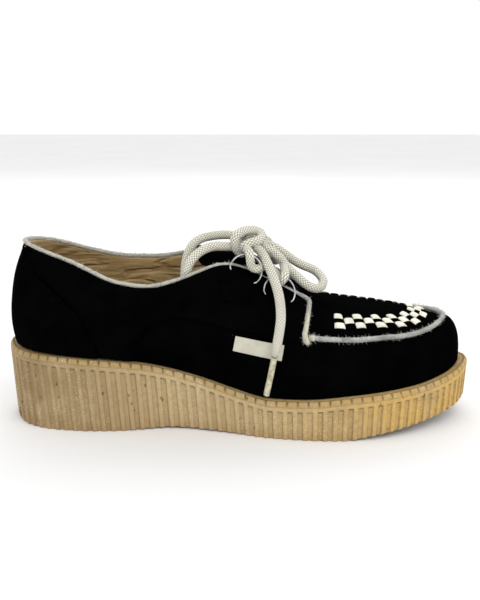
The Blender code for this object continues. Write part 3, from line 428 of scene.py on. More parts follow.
def smoothLine(points, samples, closed=False):
    # a curve through the points, with this many samples a span
    points = np.array([tuple(point) for point in points], float)
    count = len(points)
    if not closed:
        points = np.vstack([2 * points[0] - points[1], points, 2 * points[-1] - points[-2]])
    result = []
    for span in range(count if closed else count - 1):
        if closed:
            a, b, c, d = (points[(span + k) % count] for k in (-1, 0, 1, 2))
        else:
            a, b, c, d = points[span:span + 4]
        for t in np.arange(samples) / samples:
            bend = (2 * a - 5 * b + 4 * c - d) * t * t + (3 * b - a - 3 * c + d) * t ** 3
            result.append(0.5 * (2 * b + (c - a) * t + bend))
    if not closed:
        result.append(points[-2])
    return np.array(result)


def lineLength(points):
    return float(np.linalg.norm(np.diff(np.array(points), axis=0), axis=1).sum())


def evenLine(points, pitch):
    # the same line with its points a pitch apart
    points = np.array(points)
    run = np.concatenate([[0], np.cumsum(np.linalg.norm(np.diff(points, axis=0), axis=1))])
    count = max(2, round(run[-1] / pitch))
    marks = np.linspace(0, run[-1], count + 1)
    return np.column_stack([np.interp(marks, run, points[:, k]) for k in range(3)])


def knotExit(direction):
    half = np.array(bow["knotSize"]) / 2
    direction = np.array(direction) / np.linalg.norm(direction)
    middle = np.array(fromHeel([bow["knot"]])[0])
    square = direction / half
    square = square / np.linalg.norm(square)
    face = middle + direction * half
    return [face - square * 0.0042, face + square * bow["lace"] * 0.45]


def layLace(name, points, width, around=12, pitch=0.0009, narrow=0.0):
    # a round braid along a line: a curve with a bevel, made a mesh, with how far along and around it is
    line = evenLine(smoothLine(points, 8), pitch)
    curve = bpy.data.curves.new(name, "CURVE")
    curve.dimensions = "3D"
    curve.bevel_depth = width / 2
    curve.bevel_resolution = around // 2 - 2
    curve.use_fill_caps = True
    spline = curve.splines.new("POLY")
    spline.points.add(len(line) - 1)
    for k, point in enumerate(line):
        spline.points[k].co = (*point, 1.0)
        if narrow:
            left = min(1.0, (len(line) - 1 - k) * pitch / narrow)
            spline.points[k].radius = 0.62 + 0.38 * left * left * (3 - 2 * left)
    piece = bpy.data.objects.new(name, curve)
    bpy.context.scene.collection.objects.link(piece)
    pick(piece)
    bpy.ops.object.convert(target="MESH")
    piece = bpy.context.object
    mesh = piece.data
    places = np.arange(len(mesh.vertices))
    steps = np.minimum(places // around, len(line) - 1)
    alongAt = lineLength(line) * steps / (len(line) - 1) / 0.0022
    aroundAt = 2 * np.abs(places % around / around - 0.5)
    for label, values in (("along", alongAt), ("around", aroundAt)):
        mesh.attributes.new(label, "FLOAT", "POINT")
        mesh.attributes[label].data.foreach_set("value", values.astype(np.float32))
    bpy.ops.object.mode_set(mode="EDIT")
    bpy.ops.mesh.select_all(action="SELECT")
    bpy.ops.mesh.remove_doubles(threshold=0.000001)
    bpy.ops.object.mode_set(mode="OBJECT")
    smooth(piece, 60)
    return piece, line


def layBow():
    pieces = []
    for name, ends, route, node in (
        ("heelward loop", "heelLoopEnds", "heelLoop", "lace_loop_heel"),
        ("toeward loop", "toeLoopEnds", "toeLoop", "lace_loop_toe"),
    ):
        start, stop = bow[ends]
        way = knotExit(start) + [tuple(p) for p in fromHeel(bow[route])] + knotExit(stop)[::-1]
        piece, line = layLace(name.replace(" ", "_"), way, bow["lace"] * bow["swell"])
        dress(piece, braid, "lace", node)
        pieces.append((piece, line, "object", []))
    for name, start, route, tip, node, tipNode in (
        ("outer_lace_end", "outerStart", "outerEnd", "outerTip", "lace_end_outer", "lace_tip_outer"),
        ("inner_lace_end", "innerStart", "innerEnd", "innerTip", "lace_end_inner", "lace_tip_inner"),
    ):
        way = knotExit(bow[start]) + [tuple(p) for p in fromHeel(bow[route])]
        piece, line = layLace(name, way, bow["lace"] * bow["swell"], narrow=0.009)
        dress(piece, braid, "lace", node)
        cover, tipLine = layLace(name + "_tip", fromHeel(bow[tip]), bow["tip"], 12, 0.0006)
        dress(cover, tipFilm, "lace_tip", tipNode)
        pieces.append((piece, line, "fitting", [cover]))
    return pieces


def layKnot():
    # one strand wrapped round the others with a small hollow in front, and a turn behind it
    strands = [
        layLace("knot_" + part, fromHeel(bow[part]), bow["lace"] * bow["swell"])[0]
        for part in ("wrap", "back", "core", "coreBack")
    ]
    piece = joinAll(strands, "bow_knot")
    dress(piece, braid, "lace", "lace_knot")
    return piece


setCamera()
bowPieces = layBow()
knot = layKnot()
for number, (piece, line, farEnd, others) in enumerate(bowPieces):
    others + ([knot] if number == 0 else [])
print("shoe: bow tied")

# the platform's outline from the heel round the outer side: shares of the length and half width
platform = {
    "outline": [
        (0.000, 0.00), (0.029, -0.39), (0.084, -0.62), (0.171, -0.72), (0.255, -0.716), (0.36, -0.64),
        (0.458, -0.75), (0.56, -0.92), (0.658, -1.0), (0.745, -0.984), (0.825, -0.86), (0.898, -0.64),
        (0.958, -0.37), (0.990, -0.10), (1.0, 0.10), (0.990, 0.33), (0.957, 0.60), (0.891, 0.82),
        (0.80, 0.96), (0.70, 1.0), (0.60, 0.93), (0.498, 0.745), (0.40, 0.60), (0.30, 0.60),
        (0.20, 0.686), (0.12, 0.667), (0.051, 0.50), (0.011, 0.255),
    ],
    "toePoint": 14,
    "top": [
        (0.0, 1.0), (0.11, 0.967), (0.22, 0.923), (0.29, 0.873), (0.367, 0.763), (0.436, 0.66),
        (0.5, 0.554), (0.56, 0.487), (0.63, 0.495), (0.727, 0.55), (0.818, 0.582), (0.873, 0.60),
        (0.927, 0.645), (0.975, 0.705), (1.0, 0.750),
    ],
    "topHeight": 0.0455,
    "ground": [
        (0.0, 0.25), (0.025, 0.08), (0.055, 0.0), (0.255, 0.0), (0.30, 0.05), (0.367, 0.10), (0.436, 0.08),
        (0.5, 0.03), (0.545, 0.0), (0.709, 0.0), (0.745, 0.10), (0.818, 0.31), (0.873, 0.47),
        (0.927, 0.63), (0.975, 0.83), (1.0, 1.0),
    ],
    "toeSpring": 0.012,
    "ribs": 57,
    "beads": 54,
    "ribSteps": [0.0, 0.10, 0.17, 0.22, 0.25, 0.28, 0.32, 0.41, 0.5, 0.59, 0.68, 0.72, 0.75, 0.78, 0.83, 0.90],
    "ribDepth": 0.0010,
    "valley": (0.34, 0.66),
    "ribLeanDeg": 3.8,
    "taper": 0.002,
    "lip": 0.002,
    "welt": 0.003,
    "gap": 0.0003,
}


def steady(table, x):
    # a smooth curve through a table that never passes its values
    xs, ys = np.array(table, float).T
    step = np.diff(xs)
    slope = np.diff(ys) / step
    ends = np.zeros(len(xs))
    for k in range(1, len(xs) - 1):
        if slope[k - 1] * slope[k] > 0:
            ends[k] = 2 * slope[k - 1] * slope[k] / (slope[k - 1] + slope[k])
    ends[0], ends[-1] = slope[0], slope[-1]
    x = np.clip(x, xs[0], xs[-1])
    k = np.clip(np.searchsorted(xs, x) - 1, 0, len(xs) - 2)
    t = (x - xs[k]) / step[k]
    return ((2 * t**3 - 3 * t**2 + 1) * ys[k] + (t**3 - 2 * t**2 + t) * step[k] * ends[k]
            + (3 * t**2 - 2 * t**3) * ys[k + 1] + (t**3 - t**2) * step[k] * ends[k + 1])


def topAt(x):
    return steady(platform["top"], x / shoeLength + 0.5) * platform["topHeight"]


def groundAt(x):
    return steady(platform["ground"], x / shoeLength + 0.5) * platform["toeSpring"]


def outlinePaths():
    loop = smoothLine(platform["outline"], 24, closed=True)
    low, high = loop.min(axis=0), loop.max(axis=0)
    loop = ((loop - low) / (high - low) - 0.5) * np.array([shoeLength, shoeWidth])
    toe = platform["toePoint"] * 24
    outer, inner = loop[:toe + 1], np.vstack([loop[toe:], loop[:1]])[::-1]
    paths = {}
    for side, path in ((-1, outer), (1, inner)):
        run = np.concatenate([[0], np.cumsum(np.linalg.norm(np.diff(path, axis=0), axis=1))])
        paths[side] = (path, run / run[-1], run[-1])
    return paths


rimPaths = outlinePaths()


def rimPoint(side, share):
    path, shares, length = rimPaths[side]
    return np.column_stack([np.interp(share, shares, path[:, 0]), np.interp(share, shares, path[:, 1])])


def rimOutward(side, share):
    ahead = rimPoint(side, np.clip(share + 0.004, 0, 1)) - rimPoint(side, np.clip(share - 0.004, 0, 1))
    outward = np.column_stack([-ahead[:, 1], ahead[:, 0]]) * side
    outward[share <= 0] = (-1, 0)
    outward[share >= 1] = (1, 0)
    return outward / np.linalg.norm(outward, axis=1, keepdims=True)


def ribShares(ribs):
    shares = [(k + step) / ribs for k in range(ribs) for step in platform["ribSteps"]]
    return np.array(shares + [1.0])


def rimRing(inset, height, ribs, sunk=0.0):
    # one ring round the platform: inset takes the share and where it is on the rib
    ring = []
    shares = ribShares(ribs)
    phase = (shares * ribs) % 1.0
    for side in (-1, 1):
        length = rimPaths[side][2]
        level = rimPoint(side, shares)[:, 0]
        drop = topAt(level) - platform["welt"] - height(level)
        lean = math.radians(platform["ribLeanDeg"]) * np.clip((0.66 - shares) / 0.2, 0, 1)
        moved = shares + np.tan(lean) * drop / length * np.clip(shares * 12, 0, 1) * (shares < 1)
        moved = np.clip(moved, 0, 1)
        spot = rimPoint(side, moved) - rimOutward(side, moved) * inset(shares, phase)[:, None]
        ring.append(np.column_stack([spot, height(spot[:, 0]) - sunk]))
    for k in (0, -1):
        middle = (ring[0][k] + ring[1][k]) / 2
        ring[0][k] = ring[1][k] = middle
    return ring


def towardsSpine(ring, share):
    outer, inner = ring
    middle = (outer + inner) / 2
    return [outer + (middle - outer) * share, inner + (middle - inner) * share]


def loftRings(name, rings, grooveShades):
    # a circle drawn out ring by ring, each of its points then set on its ring
    loops = [np.vstack([outer, inner[-2:0:-1]]) for outer, inner in rings]
    count = len(loops[0])
    deselectAll()
    bpy.ops.mesh.primitive_circle_add(vertices=count, radius=0.1, fill_type="NOTHING")
    piece = bpy.context.object
    piece.name = name
    bpy.ops.object.mode_set(mode="EDIT")
    bpy.ops.mesh.select_all(action="SELECT")
    for ring in loops[1:]:
        bpy.ops.mesh.extrude_region_move(TRANSFORM_OT_translate={"value": (0, 0, 0.01)})
    bpy.ops.object.mode_set(mode="OBJECT")
    mesh = piece.data
    # the painted shade for each point, kept on the mesh
    groove_shade = mesh.attributes.new("groove_shade", "FLOAT", "POINT")
    first = math.atan2(mesh.vertices[0].co.y, mesh.vertices[0].co.x)
    for vertex in mesh.vertices:
        level = round(vertex.co.z / 0.01)
        turn = (math.atan2(vertex.co.y, vertex.co.x) - first) / (2 * math.pi) % 1.0
        place = round(turn * count) % count
        groove_shade.data[vertex.index].value = grooveShades[level][place]
        vertex.co = loops[level][place]
    bpy.ops.object.mode_set(mode="EDIT")
    bpy.ops.mesh.select_all(action="SELECT")
    bpy.ops.mesh.remove_doubles(threshold=0.000005)
    bpy.ops.mesh.dissolve_degenerate(threshold=0.000002)
    bpy.ops.mesh.normals_make_consistent(inside=False)
    bpy.ops.object.mode_set(mode="OBJECT")
    return piece


def makeSole():
    depth = platform["ribDepth"]
    top = platform["welt"] + platform["gap"]
    lip = top + platform["lip"]
    shares = ribShares(platform["ribs"])
    phase = (shares * platform["ribs"]) % 1.0
    low, high = platform["valley"]
    rise = np.clip((np.abs(2 * phase - 1) - low) / (high - low), 0, 1)
    dip = 0.76 * rise * rise * (3 - 2 * rise) + 0.24 * (2 * phase - 1) ** 2
    dip = dip * (1 + 0.15 * np.sin(np.floor(shares * platform["ribs"] + 0.5) * 2.3))
    loopDip = np.concatenate([dip, dip[-2:0:-1]])
    # painted shade: a dark line along one flank of each rib, and a faint one along the other
    edge = np.exp(-((phase - 0.24) / 0.06) ** 2) + 0.12 * np.exp(-((phase - 0.78) / 0.06) ** 2)
    loopFlankShade = np.concatenate([edge, edge[-2:0:-1]])

    def side(taper, cut, extra=0.0):
        return lambda share, phase: platform["taper"] * (1 - 0.6 * share) * taper + depth * cut * dip + extra

    # each level: inset, height, the painted shade its grooves get, and the painted shadow under the lip
    levels = [
        (side(1.0, 1.0, 0.0006), lambda x: groundAt(x), 1.0, 0.0),
        (side(1.0, 1.0), lambda x: groundAt(x) + 0.0006, 1.0, 0.0),
        (side(0.5, 1.0), lambda x: (groundAt(x) + topAt(x) - lip) / 2, 1.0, 0.0),
        (side(0.04, 1.0), lambda x: topAt(x) - lip - 0.0014, 1.0, 0.0),
        (side(0.02, 1.0), lambda x: topAt(x) - lip - 0.0007, 1.0, 0.75),
        (side(0.0, 1.15), lambda x: topAt(x) - lip - 0.0002, 1.0, 1.0),
        (side(0.0, 0.12), lambda x: topAt(x) - lip, 0.0, 0.5),
        (side(0.0, 0.0), lambda x: topAt(x) - lip + 0.0003, 0.0, 0.0),
        (side(0.0, 0.0), lambda x: topAt(x) - top - 0.0001, 0.0, 0.0),
        (side(0.0, 0.0, 0.0002), lambda x: topAt(x) - top + 0.0001, 0.0, 0.0),
    ]
    rings = [rimRing(inset, height, platform["ribs"]) for inset, height, shade, lipShadow in levels]
    # painted shade: darker down the grooves and along the flank line, and a painted shadow under the lip
    grooveShades = [
        (loopDip * 0.13 + loopFlankShade * 0.42) * shade + np.clip(loopDip - 0.5, 0, 1) * 1.6 * lipShadow
        for inset, height, shade, lipShadow in levels
    ]
    flat = np.zeros(len(loopDip))
    under = [towardsSpine(rings[0], share) for share in (1.0, 0.5, 0.08)]
    over = [towardsSpine(rings[-1], share) for share in (0.2, 1.0)]
    sole = loftRings("ribbed_sole", under + rings + over, [flat] * 3 + grooveShades + [flat] * 2)
    smooth(sole, 35)
    dress(sole, gum, "gum", "sole")
    sole.data.materials.append(tread.material)
    for face in sole.data.polygons:
        if face.normal.z < -0.8:
            face.material_index = 1
    return sole


def makeWelt():
    # beads like a rope's on the outer edge, a groove behind them, and a smooth ledge, with painted shade in the gaps
    # between the beads, in the groove, at its foot and where the ledge meets the upper
    shares = ribShares(platform["beads"])
    phase = (shares * platform["beads"]) % 1.0
    notch = np.abs(2 * phase - 1) ** 7
    loopNotch = np.concatenate([notch, notch[-2:0:-1]])
    welt = platform["welt"]

    def side(inset, cut):
        return lambda share, phase: inset + cut * notch

    # each level: inset, bead cut, height from the top, notch sink, and its painted shade
    levels = [
        (0.0002, 0.0, -welt * 1.06, 0.0, 0.2),
        (0.0, 0.0001, -welt * 0.90, 0.0, 0.3),
        (0.0001, 0.0006, -welt * 0.62, 0.0, 0.7),
        (0.0004, 0.0010, -welt * 0.34, 0.0002, 0.8),
        (0.0008, 0.0008, -welt * 0.12, 0.0007, 0.8),
        (0.0013, 0.0003, 0.0, 0.0009, 0.7),
        (0.0018, 0.0, -welt * 0.10, 0.0005, 0.7),
        (0.0022, 0.0, -welt * 0.18, 0.0, 0.6),
        (0.0028, 0.0, -welt * 0.05, 0.0, 0.6),
        (0.0033, 0.0, 0.0, 0.0, 0.05),
        (0.0048, 0.0, 0.0, 0.0, 0.15),
    ]
    rings = []
    grooveShades = []
    for inset, cut, level, sunk, dark in levels:
        rings.append(rimRing(side(inset, cut), lambda x, level=level: topAt(x) + level, platform["beads"], sunk * notch))
        # painted shade: only in the notches on rings with a cut or sink, all round on the others
        grooveShades.append(loopNotch * dark if cut or sunk else np.full(len(loopNotch), dark))
    flat = np.zeros(len(loopNotch))
    under = [towardsSpine(rings[0], share) for share in (1.0, 0.2)]
    over = [towardsSpine(rings[-1], share) for share in (0.25, 1.0)]
    piece = loftRings("beaded_welt", under + rings + over, [flat] * 2 + grooveShades + [flat] * 2)
    smooth(piece, 40)
    dress(piece, weltRubber, "welt", "welt")
    return piece


sole = makeSole()
welt = makeWelt()
print("shoe: platform and welt")


def softCopy(node, name, rounding=0.0003, levels=2, segments=2):
    # a solid of the frame copied, its triangles made quads, its edges rounded and its faces refined
    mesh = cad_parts[node].data.copy()
    piece = bpy.data.objects.new(name, mesh)
    bpy.context.scene.collection.objects.link(piece)
    pick(piece)
    bpy.ops.mesh.customdata_custom_splitnormals_clear()
    bpy.ops.object.mode_set(mode="EDIT")
    bpy.ops.mesh.select_all(action="SELECT")
    bpy.ops.mesh.remove_doubles(threshold=0.00001)
    bpy.ops.mesh.tris_convert_to_quads(face_threshold=math.radians(50), shape_threshold=math.radians(70))
    bpy.ops.object.mode_set(mode="OBJECT")
    if rounding:
        bevel = piece.modifiers.new("rounding", "BEVEL")
        bevel.width = rounding
        bevel.segments = segments
        bevel.limit_method = "ANGLE"
        bevel.angle_limit = math.radians(50)
    if levels:
        refine = piece.modifiers.new("refine", "SUBSURF")
        refine.levels = levels
        refine.render_levels = levels
    applyModifiers(piece)
    smooth(piece, 60)
    return piece


def lineInside(piece):
    # faces that look at another part of the wall are inside, and get the lining
    piece.data.materials.append(lining.material)
    wall = BVHTree.FromPolygons([v.co for v in piece.data.vertices], [list(f.vertices) for f in piece.data.polygons])
    for face in piece.data.polygons:
        hit = wall.ray_cast(face.center + face.normal * 0.0005, face.normal, 0.13)[0]
        middle = Vector((min(max(face.center.x, -0.098), 0.0), 0.0, face.center.z))
        aside = face.normal.dot((middle - face.center).normalized())
        rim = 0.015 < face.center.x < 0.06 and face.normal.x < -0.5
        if not rim and (hit is not None or (aside > -0.3 and face.center.x < 0.03)):
            face.material_index = 1


# each ring's straight side, in metres from the heel: its middle, its direction and the way to the far wire
rings = {
    "reach": 0.0133,
    "width": 0.0182,
    "wire": 0.0012,
    "foldLength": 0.0145,
    "foldWidth": 0.0036,
    "places": {
        "a_outer": ((0.1387, -0.0286, 0.0888), (0.8612, -0.1061, -0.4971), (0.5004, 0.3495, 0.7921)),
        "a_inner": ((0.1387, 0.0278, 0.0912), (0.8595, 0.0750, -0.5057), (0.5026, -0.3049, 0.8090)),
        "b_outer": ((0.1584, -0.0316, 0.0772), (0.9354, 0.1163, -0.3339), (0.2395, 0.4863, 0.8403)),
        "b_inner": ((0.1583, 0.0303, 0.0792), (0.9400, -0.0790, -0.3319), (0.2661, -0.4391, 0.8581)),
    },
    "knotOuter": [(0.1420, -0.0040, 0.1020), (0.1412, -0.0100, 0.1012), (0.1416, -0.0180, 0.1022)],
    "knotInner": [(0.1440, 0.0170, 0.1040), (0.1440, 0.0100, 0.1045), (0.1438, 0.0020, 0.1045)],
    "over": {"a_outer": -0.0030, "a_inner": -0.0020, "b_outer": 0.0, "b_inner": 0.0},
    "under": {"a_outer": 0.0065, "a_inner": 0.0040, "b_outer": -0.0020, "b_inner": -0.0020},
    "crossHigh": (0.1530, 0.0000, 0.0968),
    "crossLow": (0.1530, 0.0004, 0.0922),
    "bar": (0.1625, 0.0000, 0.0925),
}


def ringTurn(place):
    # over the far wire, down through the ring and back under the wire
    middle, across, reach = (np.array(part) for part in rings["places"][place])
    face = np.cross(across, reach)
    face = face * np.sign(face[1] * middle[1]) / np.linalg.norm(face)
    clear = (rings["wire"] + bow["lace"]) / 2 + 0.0001
    bend = rings["width"] / 2

    def wireAt(aside):
        return middle + across * aside + reach * (rings["reach"] - bend + math.sqrt(bend ** 2 - aside ** 2))

    over, under = rings["over"][place], rings["under"][place]
    inside = middle + across * (over + under) / 2 + reach * (rings["reach"] - clear - abs(under - over) * 0.25)
    return [tuple(wireAt(over) + face * clear), tuple(inside), tuple(wireAt(under) - face * clear)]


def crossLace():
    # one lace from the knot through ring a, crossed to ring b, over the bar and back the same way
    way = rings["knotOuter"] + ringTurn("a_outer") + [rings["crossHigh"]] + ringTurn("b_inner")[::-1]
    way += [rings["bar"]] + ringTurn("b_outer") + [rings["crossLow"]] + ringTurn("a_inner")[::-1]
    piece, line = layLace("crossed_lace", fromHeel(way + rings["knotInner"]), bow["lace"])
    dress(piece, braid, "lace", "lace_crossings")


def foldStrap(place):
    # the strap where it turns round the ring's straight side
    middle, across, reach = (np.array(part) for part in rings["places"][place])
    half = rings["foldLength"] / 2
    spots = [middle + across * half * share - reach * 0.0003 for share in (-1, -0.9, -0.5, 0, 0.5, 0.9, 1)]
    piece, line = layLace("strap_fold_" + place, fromHeel(spots), rings["foldWidth"], 12, 0.0012)
    dress(piece, suedeTop, "suede")


# raw edges of the pipings: how far they swell, how rough they are, and their hairs
fray = {
    "heel": 0.0014, "settle": 0.0006, "swell": 0.00028, "rough": 0.00040, "fineness": 1500.0, "flare": 0.0007,
    "hairs": 1300, "hair": 0.0015, "thin": 0.00011,
}


def ragEdge(piece):
    for vertex in piece.data.vertices:
        back = max(0.0, min(1.0, (-0.108 - vertex.co.x) / 0.014))
        vertex.co.x -= fray["heel"] * back * back * (3 - 2 * back)
        if vertex.co.x < 0.026:
            vertex.co.z -= fray["settle"]
        low = max(0.0, min(1.0, (0.064 - vertex.co.z) / 0.010)) * (0.026 < vertex.co.x < 0.0412)
        step = fray["swell"] + fray["rough"] * noise.noise(vertex.co * fray["fineness"]) + fray["flare"] * low ** 2
        vertex.co += vertex.normal * step


def growHairs(piece, name):
    # one thin bent hair, copied over the edge at seeded places
    deselectAll()
    bpy.ops.mesh.primitive_cone_add(vertices=3, radius1=fray["thin"], radius2=fray["thin"] * 0.3, depth=fray["hair"])
    hair = bpy.context.object
    bpy.ops.object.mode_set(mode="EDIT")
    bpy.ops.mesh.select_all(action="SELECT")
    bpy.ops.mesh.subdivide(number_cuts=1)
    bpy.ops.object.mode_set(mode="OBJECT")
    for vertex in hair.data.vertices:
        vertex.co.z += fray["hair"] / 2
        vertex.co.x += 0.25 * vertex.co.z ** 2 / fray["hair"]
    chance = np.random.default_rng(7)
    copies = []
    for index in chance.choice(len(piece.data.vertices), fray["hairs"], replace=False):
        root = piece.data.vertices[int(index)]
        way = root.normal + Vector(chance.normal(0.0, 0.55, 3))
        turn = way.to_track_quat("Z", "Y").to_matrix() * float(chance.uniform(0.5, 1.25))
        copy = bpy.data.objects.new("hair_copy", hair.data.copy())
        bpy.context.scene.collection.objects.link(copy)
        for vertex in copy.data.vertices:
            vertex.co = turn @ vertex.co + root.co
        copies.append(copy)
    bpy.data.objects.remove(hair)
    return joinAll(copies, name)


def skiveTop(piece):
    # the counter thins out under the piping round the heel
    for vertex in piece.data.vertices:
        thin = max(0.0, min(1.0, (vertex.co.z - 0.080) / 0.018))
        inward = Vector((-0.085 - vertex.co.x, -vertex.co.y, 0)).normalized()
        vertex.co += inward * 0.0007 * thin * thin


# creases pressed in where the foot bends the shoe: lines of x and z along each side, width and depth
creases = {
    "width": 0.0016,
    "depth": 0.0005,
    "lines": [
        [(0.029, 0.0515), (0.037, 0.0470), (0.045, 0.0400), (0.052, 0.0345)],
        [(0.020, 0.0445), (0.029, 0.0400), (0.036, 0.0340), (0.041, 0.0305)],
        [(0.050, 0.0500), (0.056, 0.0455), (0.061, 0.0400)],
        [(-0.047, 0.0520), (-0.036, 0.0500), (-0.025, 0.0515)],
        [(-0.100, 0.0760), (-0.088, 0.0715), (-0.078, 0.0700), (-0.066, 0.0725)],
    ],
}


def pressCreases(piece):
    spots = np.empty(len(piece.data.vertices) * 3)
    faces = np.empty(len(piece.data.vertices) * 3)
    piece.data.vertices.foreach_get("co", spots)
    piece.data.vertices.foreach_get("normal", faces)
    spots, faces = spots.reshape(-1, 3), faces.reshape(-1, 3)
    outside = np.clip(faces[:, 1] * np.sign(spots[:, 1]) * 2, 0, 1)
    width = creases["width"]
    for points in creases["lines"]:
        line = smoothLine(points, 12)
        aside = np.linalg.norm(spots[:, None, (0, 2)] - line[None], axis=2)
        near, nearest = aside.min(axis=1), aside.argmin(axis=1) / (len(line) - 1)
        press = np.exp(-(near / width) ** 2) - 0.35 * np.exp(-((near - 1.9 * width) / width) ** 2)
        fade = np.clip(np.minimum(nearest, 1 - nearest) * 5, 0, 1)
        spots -= faces * (press * fade * outside * creases["depth"])[:, None]
    piece.data.vertices.foreach_set("co", spots.ravel())
    piece.data.update()


crossLace()
upper = softCopy("upper", "suede_upper", 0.0004)
dress(upper, suede, "suede", "upper")
lineInside(upper)
pressCreases(upper)
for node, name in (("quarter_outer", "outer_quarter"), ("quarter_inner", "inner_quarter"), ("counter", "heel_counter")):
    piece = softCopy(node, name, 0.0002)
    if node == "counter":
        skiveTop(piece)
    pressCreases(piece)
    dress(piece, suedeTop, "suede", node)
tongue = softCopy("tongue", "suede_tongue", 0.0004)
dress(tongue, suede, "suede", "tongue")
insole = softCopy("insole", "footbed_board", 0.0003, 1)
dress(insole, footbed, "insole", "insole")
for node, name in (("collar_piping", "collar_edge"), ("apron_piping", "apron_edge")):
    piece = softCopy(node, name, 0.0, 2)
    ragEdge(piece)
    dress(piece, rawEdge, "piping", node)
    hairs = growHairs(piece, name + "_hairs")
    dress(hairs, rawEdge, "piping")
for place, (middle, across, reach) in rings["places"].items():
    key, side = place.split("_")
    ring = softCopy(f"ring_{place}", f"wire_ring_{place}", 0.0, 2)
    dress(ring, wire, "wire", f"ring_{place}")
    tab = softCopy(f"tab_{place}", f"ring_strap_{place}", 0.0002)
    dress(tab, suedeTop, "suede", f"tab_{place}")
    foldStrap(place)
label = softCopy("side_label", "side_patch", 0.00015)
dress(label, patchCloth, "patch", "side_label")
print("shoe: upper dressed")


def surfaceOf(*nodes):
    # the outer faces of some solids, to lay small pieces on
    corners = []
    faces = []
    for node in nodes:
        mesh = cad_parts[node].data
        first = len(corners)
        corners += [vertex.co.copy() for vertex in mesh.vertices]
        faces += [[first + corner for corner in face.vertices] for face in mesh.polygons]
    return BVHTree.FromPolygons(corners, faces)


vamp = surfaceOf("upper")
sides = surfaceOf("upper", "quarter_outer", "quarter_inner", "counter")

# the woven band: the apron's line in plan, as shares of the length and of the half width, and the strips
weave = {
    "line": [
        (0.690, -0.750), (0.722, -0.745), (0.81, -0.645), (0.874, -0.44), (0.919, -0.19), (0.937, 0.0),
        (0.941, 0.11), (0.937, 0.22), (0.919, 0.42), (0.874, 0.62), (0.80, 0.72), (0.715, 0.745), (0.680, 0.745),
    ],
    "startX": 0.0512,
    "endX": 0.0497,
    "toLine": 0.0094,
    "row": 0.0037,
    "rows": 3,
    "cell": 0.0060,
    "stripShare": 0.93,
    "bridgeShare": 0.90,
    "stripRise": 0.0010,
    "bridgeRise": 0.0005,
    "thickness": 0.0004,
    "sink": 0.0022,
    "sinkFrom": 0.075,
    "sinkOutside": 0.0055,
    "sinkInside": 0.045,
    "corner": 0.0024,
    "cornerAt": 0.17,
}


def apronLine():
    line = smoothLine(weave["line"], 24)
    return np.column_stack([(line[:, 0] - 0.5) * shoeLength, line[:, 1] * shoeWidth / 2])


def sinkApron(piece):
    # in front the apron lies a little lower than the crest of the toe cap round it
    line = apronLine()
    spots = np.empty(len(piece.data.vertices) * 3)
    piece.data.vertices.foreach_get("co", spots)
    spots = spots.reshape(-1, 3)
    for k in np.nonzero((spots[:, 0] > weave["sinkFrom"]) & (spots[:, 2] > 0.045))[0]:
        aside = line - spots[k, :2]
        near = float(np.sqrt((aside ** 2).sum(axis=1).min()))
        nearest = line[int((aside ** 2).sum(axis=1).argmin())]
        centre = np.array([0.07, 0.001])
        outside = np.linalg.norm(spots[k, :2] - centre) > np.linalg.norm(nearest - centre)
        share = 1 - near / (weave["sinkOutside"] if outside else weave["sinkInside"])
        ahead = min(1.0, (spots[k, 0] - weave["sinkFrom"]) / 0.035)
        if share > 0:
            spots[k, 2] -= weave["sink"] * share * share * (3 - 2 * share) * ahead * ahead * (3 - 2 * ahead)
    piece.data.vertices.foreach_set("co", spots.ravel())
    piece.data.update()


def onVamp(x, y):
    spot, face, index, far = vamp.ray_cast(Vector((x, y, 0.14)), Vector((0, 0, -1)))
    return np.array(spot), np.array(face)


def weaveColumn(line, run, mark):
    # the corners of the cells on one line inwards from the apron's line
    spot = np.array([np.interp(mark, run, line[:, axis]) for axis in (0, 1)])
    ahead = np.array([np.interp(mark + 0.004, run, line[:, a]) - np.interp(mark - 0.004, run, line[:, a]) for a in (0, 1)])
    inward = np.array([-ahead[1], ahead[0]]) / np.linalg.norm(ahead)
    lean = max(0.0, spot[0] - 0.075) / 0.05
    inward = inward + lean * 0.45 * (np.array([0.035, 0.002]) - spot) / np.linalg.norm(np.array([0.035, 0.002]) - spot)
    inward = inward / np.linalg.norm(inward)
    gone = 0.0
    last, face = onVamp(*spot)
    corner = math.exp(-((abs(mark / run[-1] - 0.5) - weave["cornerAt"]) / 0.10) ** 2)
    first = weave["toLine"] - weave["corner"] * corner
    wanted = [first + weave["row"] * row for row in range(weave["rows"] + 1)]
    corners = []
    while len(corners) < len(wanted):
        spot = spot + inward * 0.0003
        point, face = onVamp(*spot)
        gone += np.linalg.norm(point - last)
        last = point
        if gone >= wanted[len(corners)]:
            corners.append((point, face))
    return corners


def weaveGrid():
    # columns of cells across the apron's line, evenly spaced along the band's middle row
    line = apronLine()
    front = int(np.argmax(line[:, 0]))
    start = int(np.argmax(line[:front, 0] > weave["startX"]))
    stop = front + int(np.argmax(line[front:, 0] < weave["endX"]))
    line = line[start:stop + 1]
    solid = np.array([onVamp(x, y)[0] for x, y in line])
    run = np.concatenate([[0], np.cumsum(np.linalg.norm(np.diff(solid, axis=0), axis=1))])
    marks = np.linspace(0, run[-1], 121)
    middle = []
    for mark in marks:
        corners = weaveColumn(line, run, mark)
        middle.append((corners[1][0] + corners[2][0]) / 2)
    along = np.concatenate([[0], np.cumsum(np.linalg.norm(np.diff(middle, axis=0), axis=1))])
    columns = 2 * round((along[-1] / weave["cell"] - 1) / 2) + 1
    print("shoe: band", round(float(along[-1]), 4), "long,", columns, "columns")
    places = np.interp(np.linspace(0, along[-1], columns + 1), along, marks)
    return [weaveColumn(line, run, mark) for mark in places]


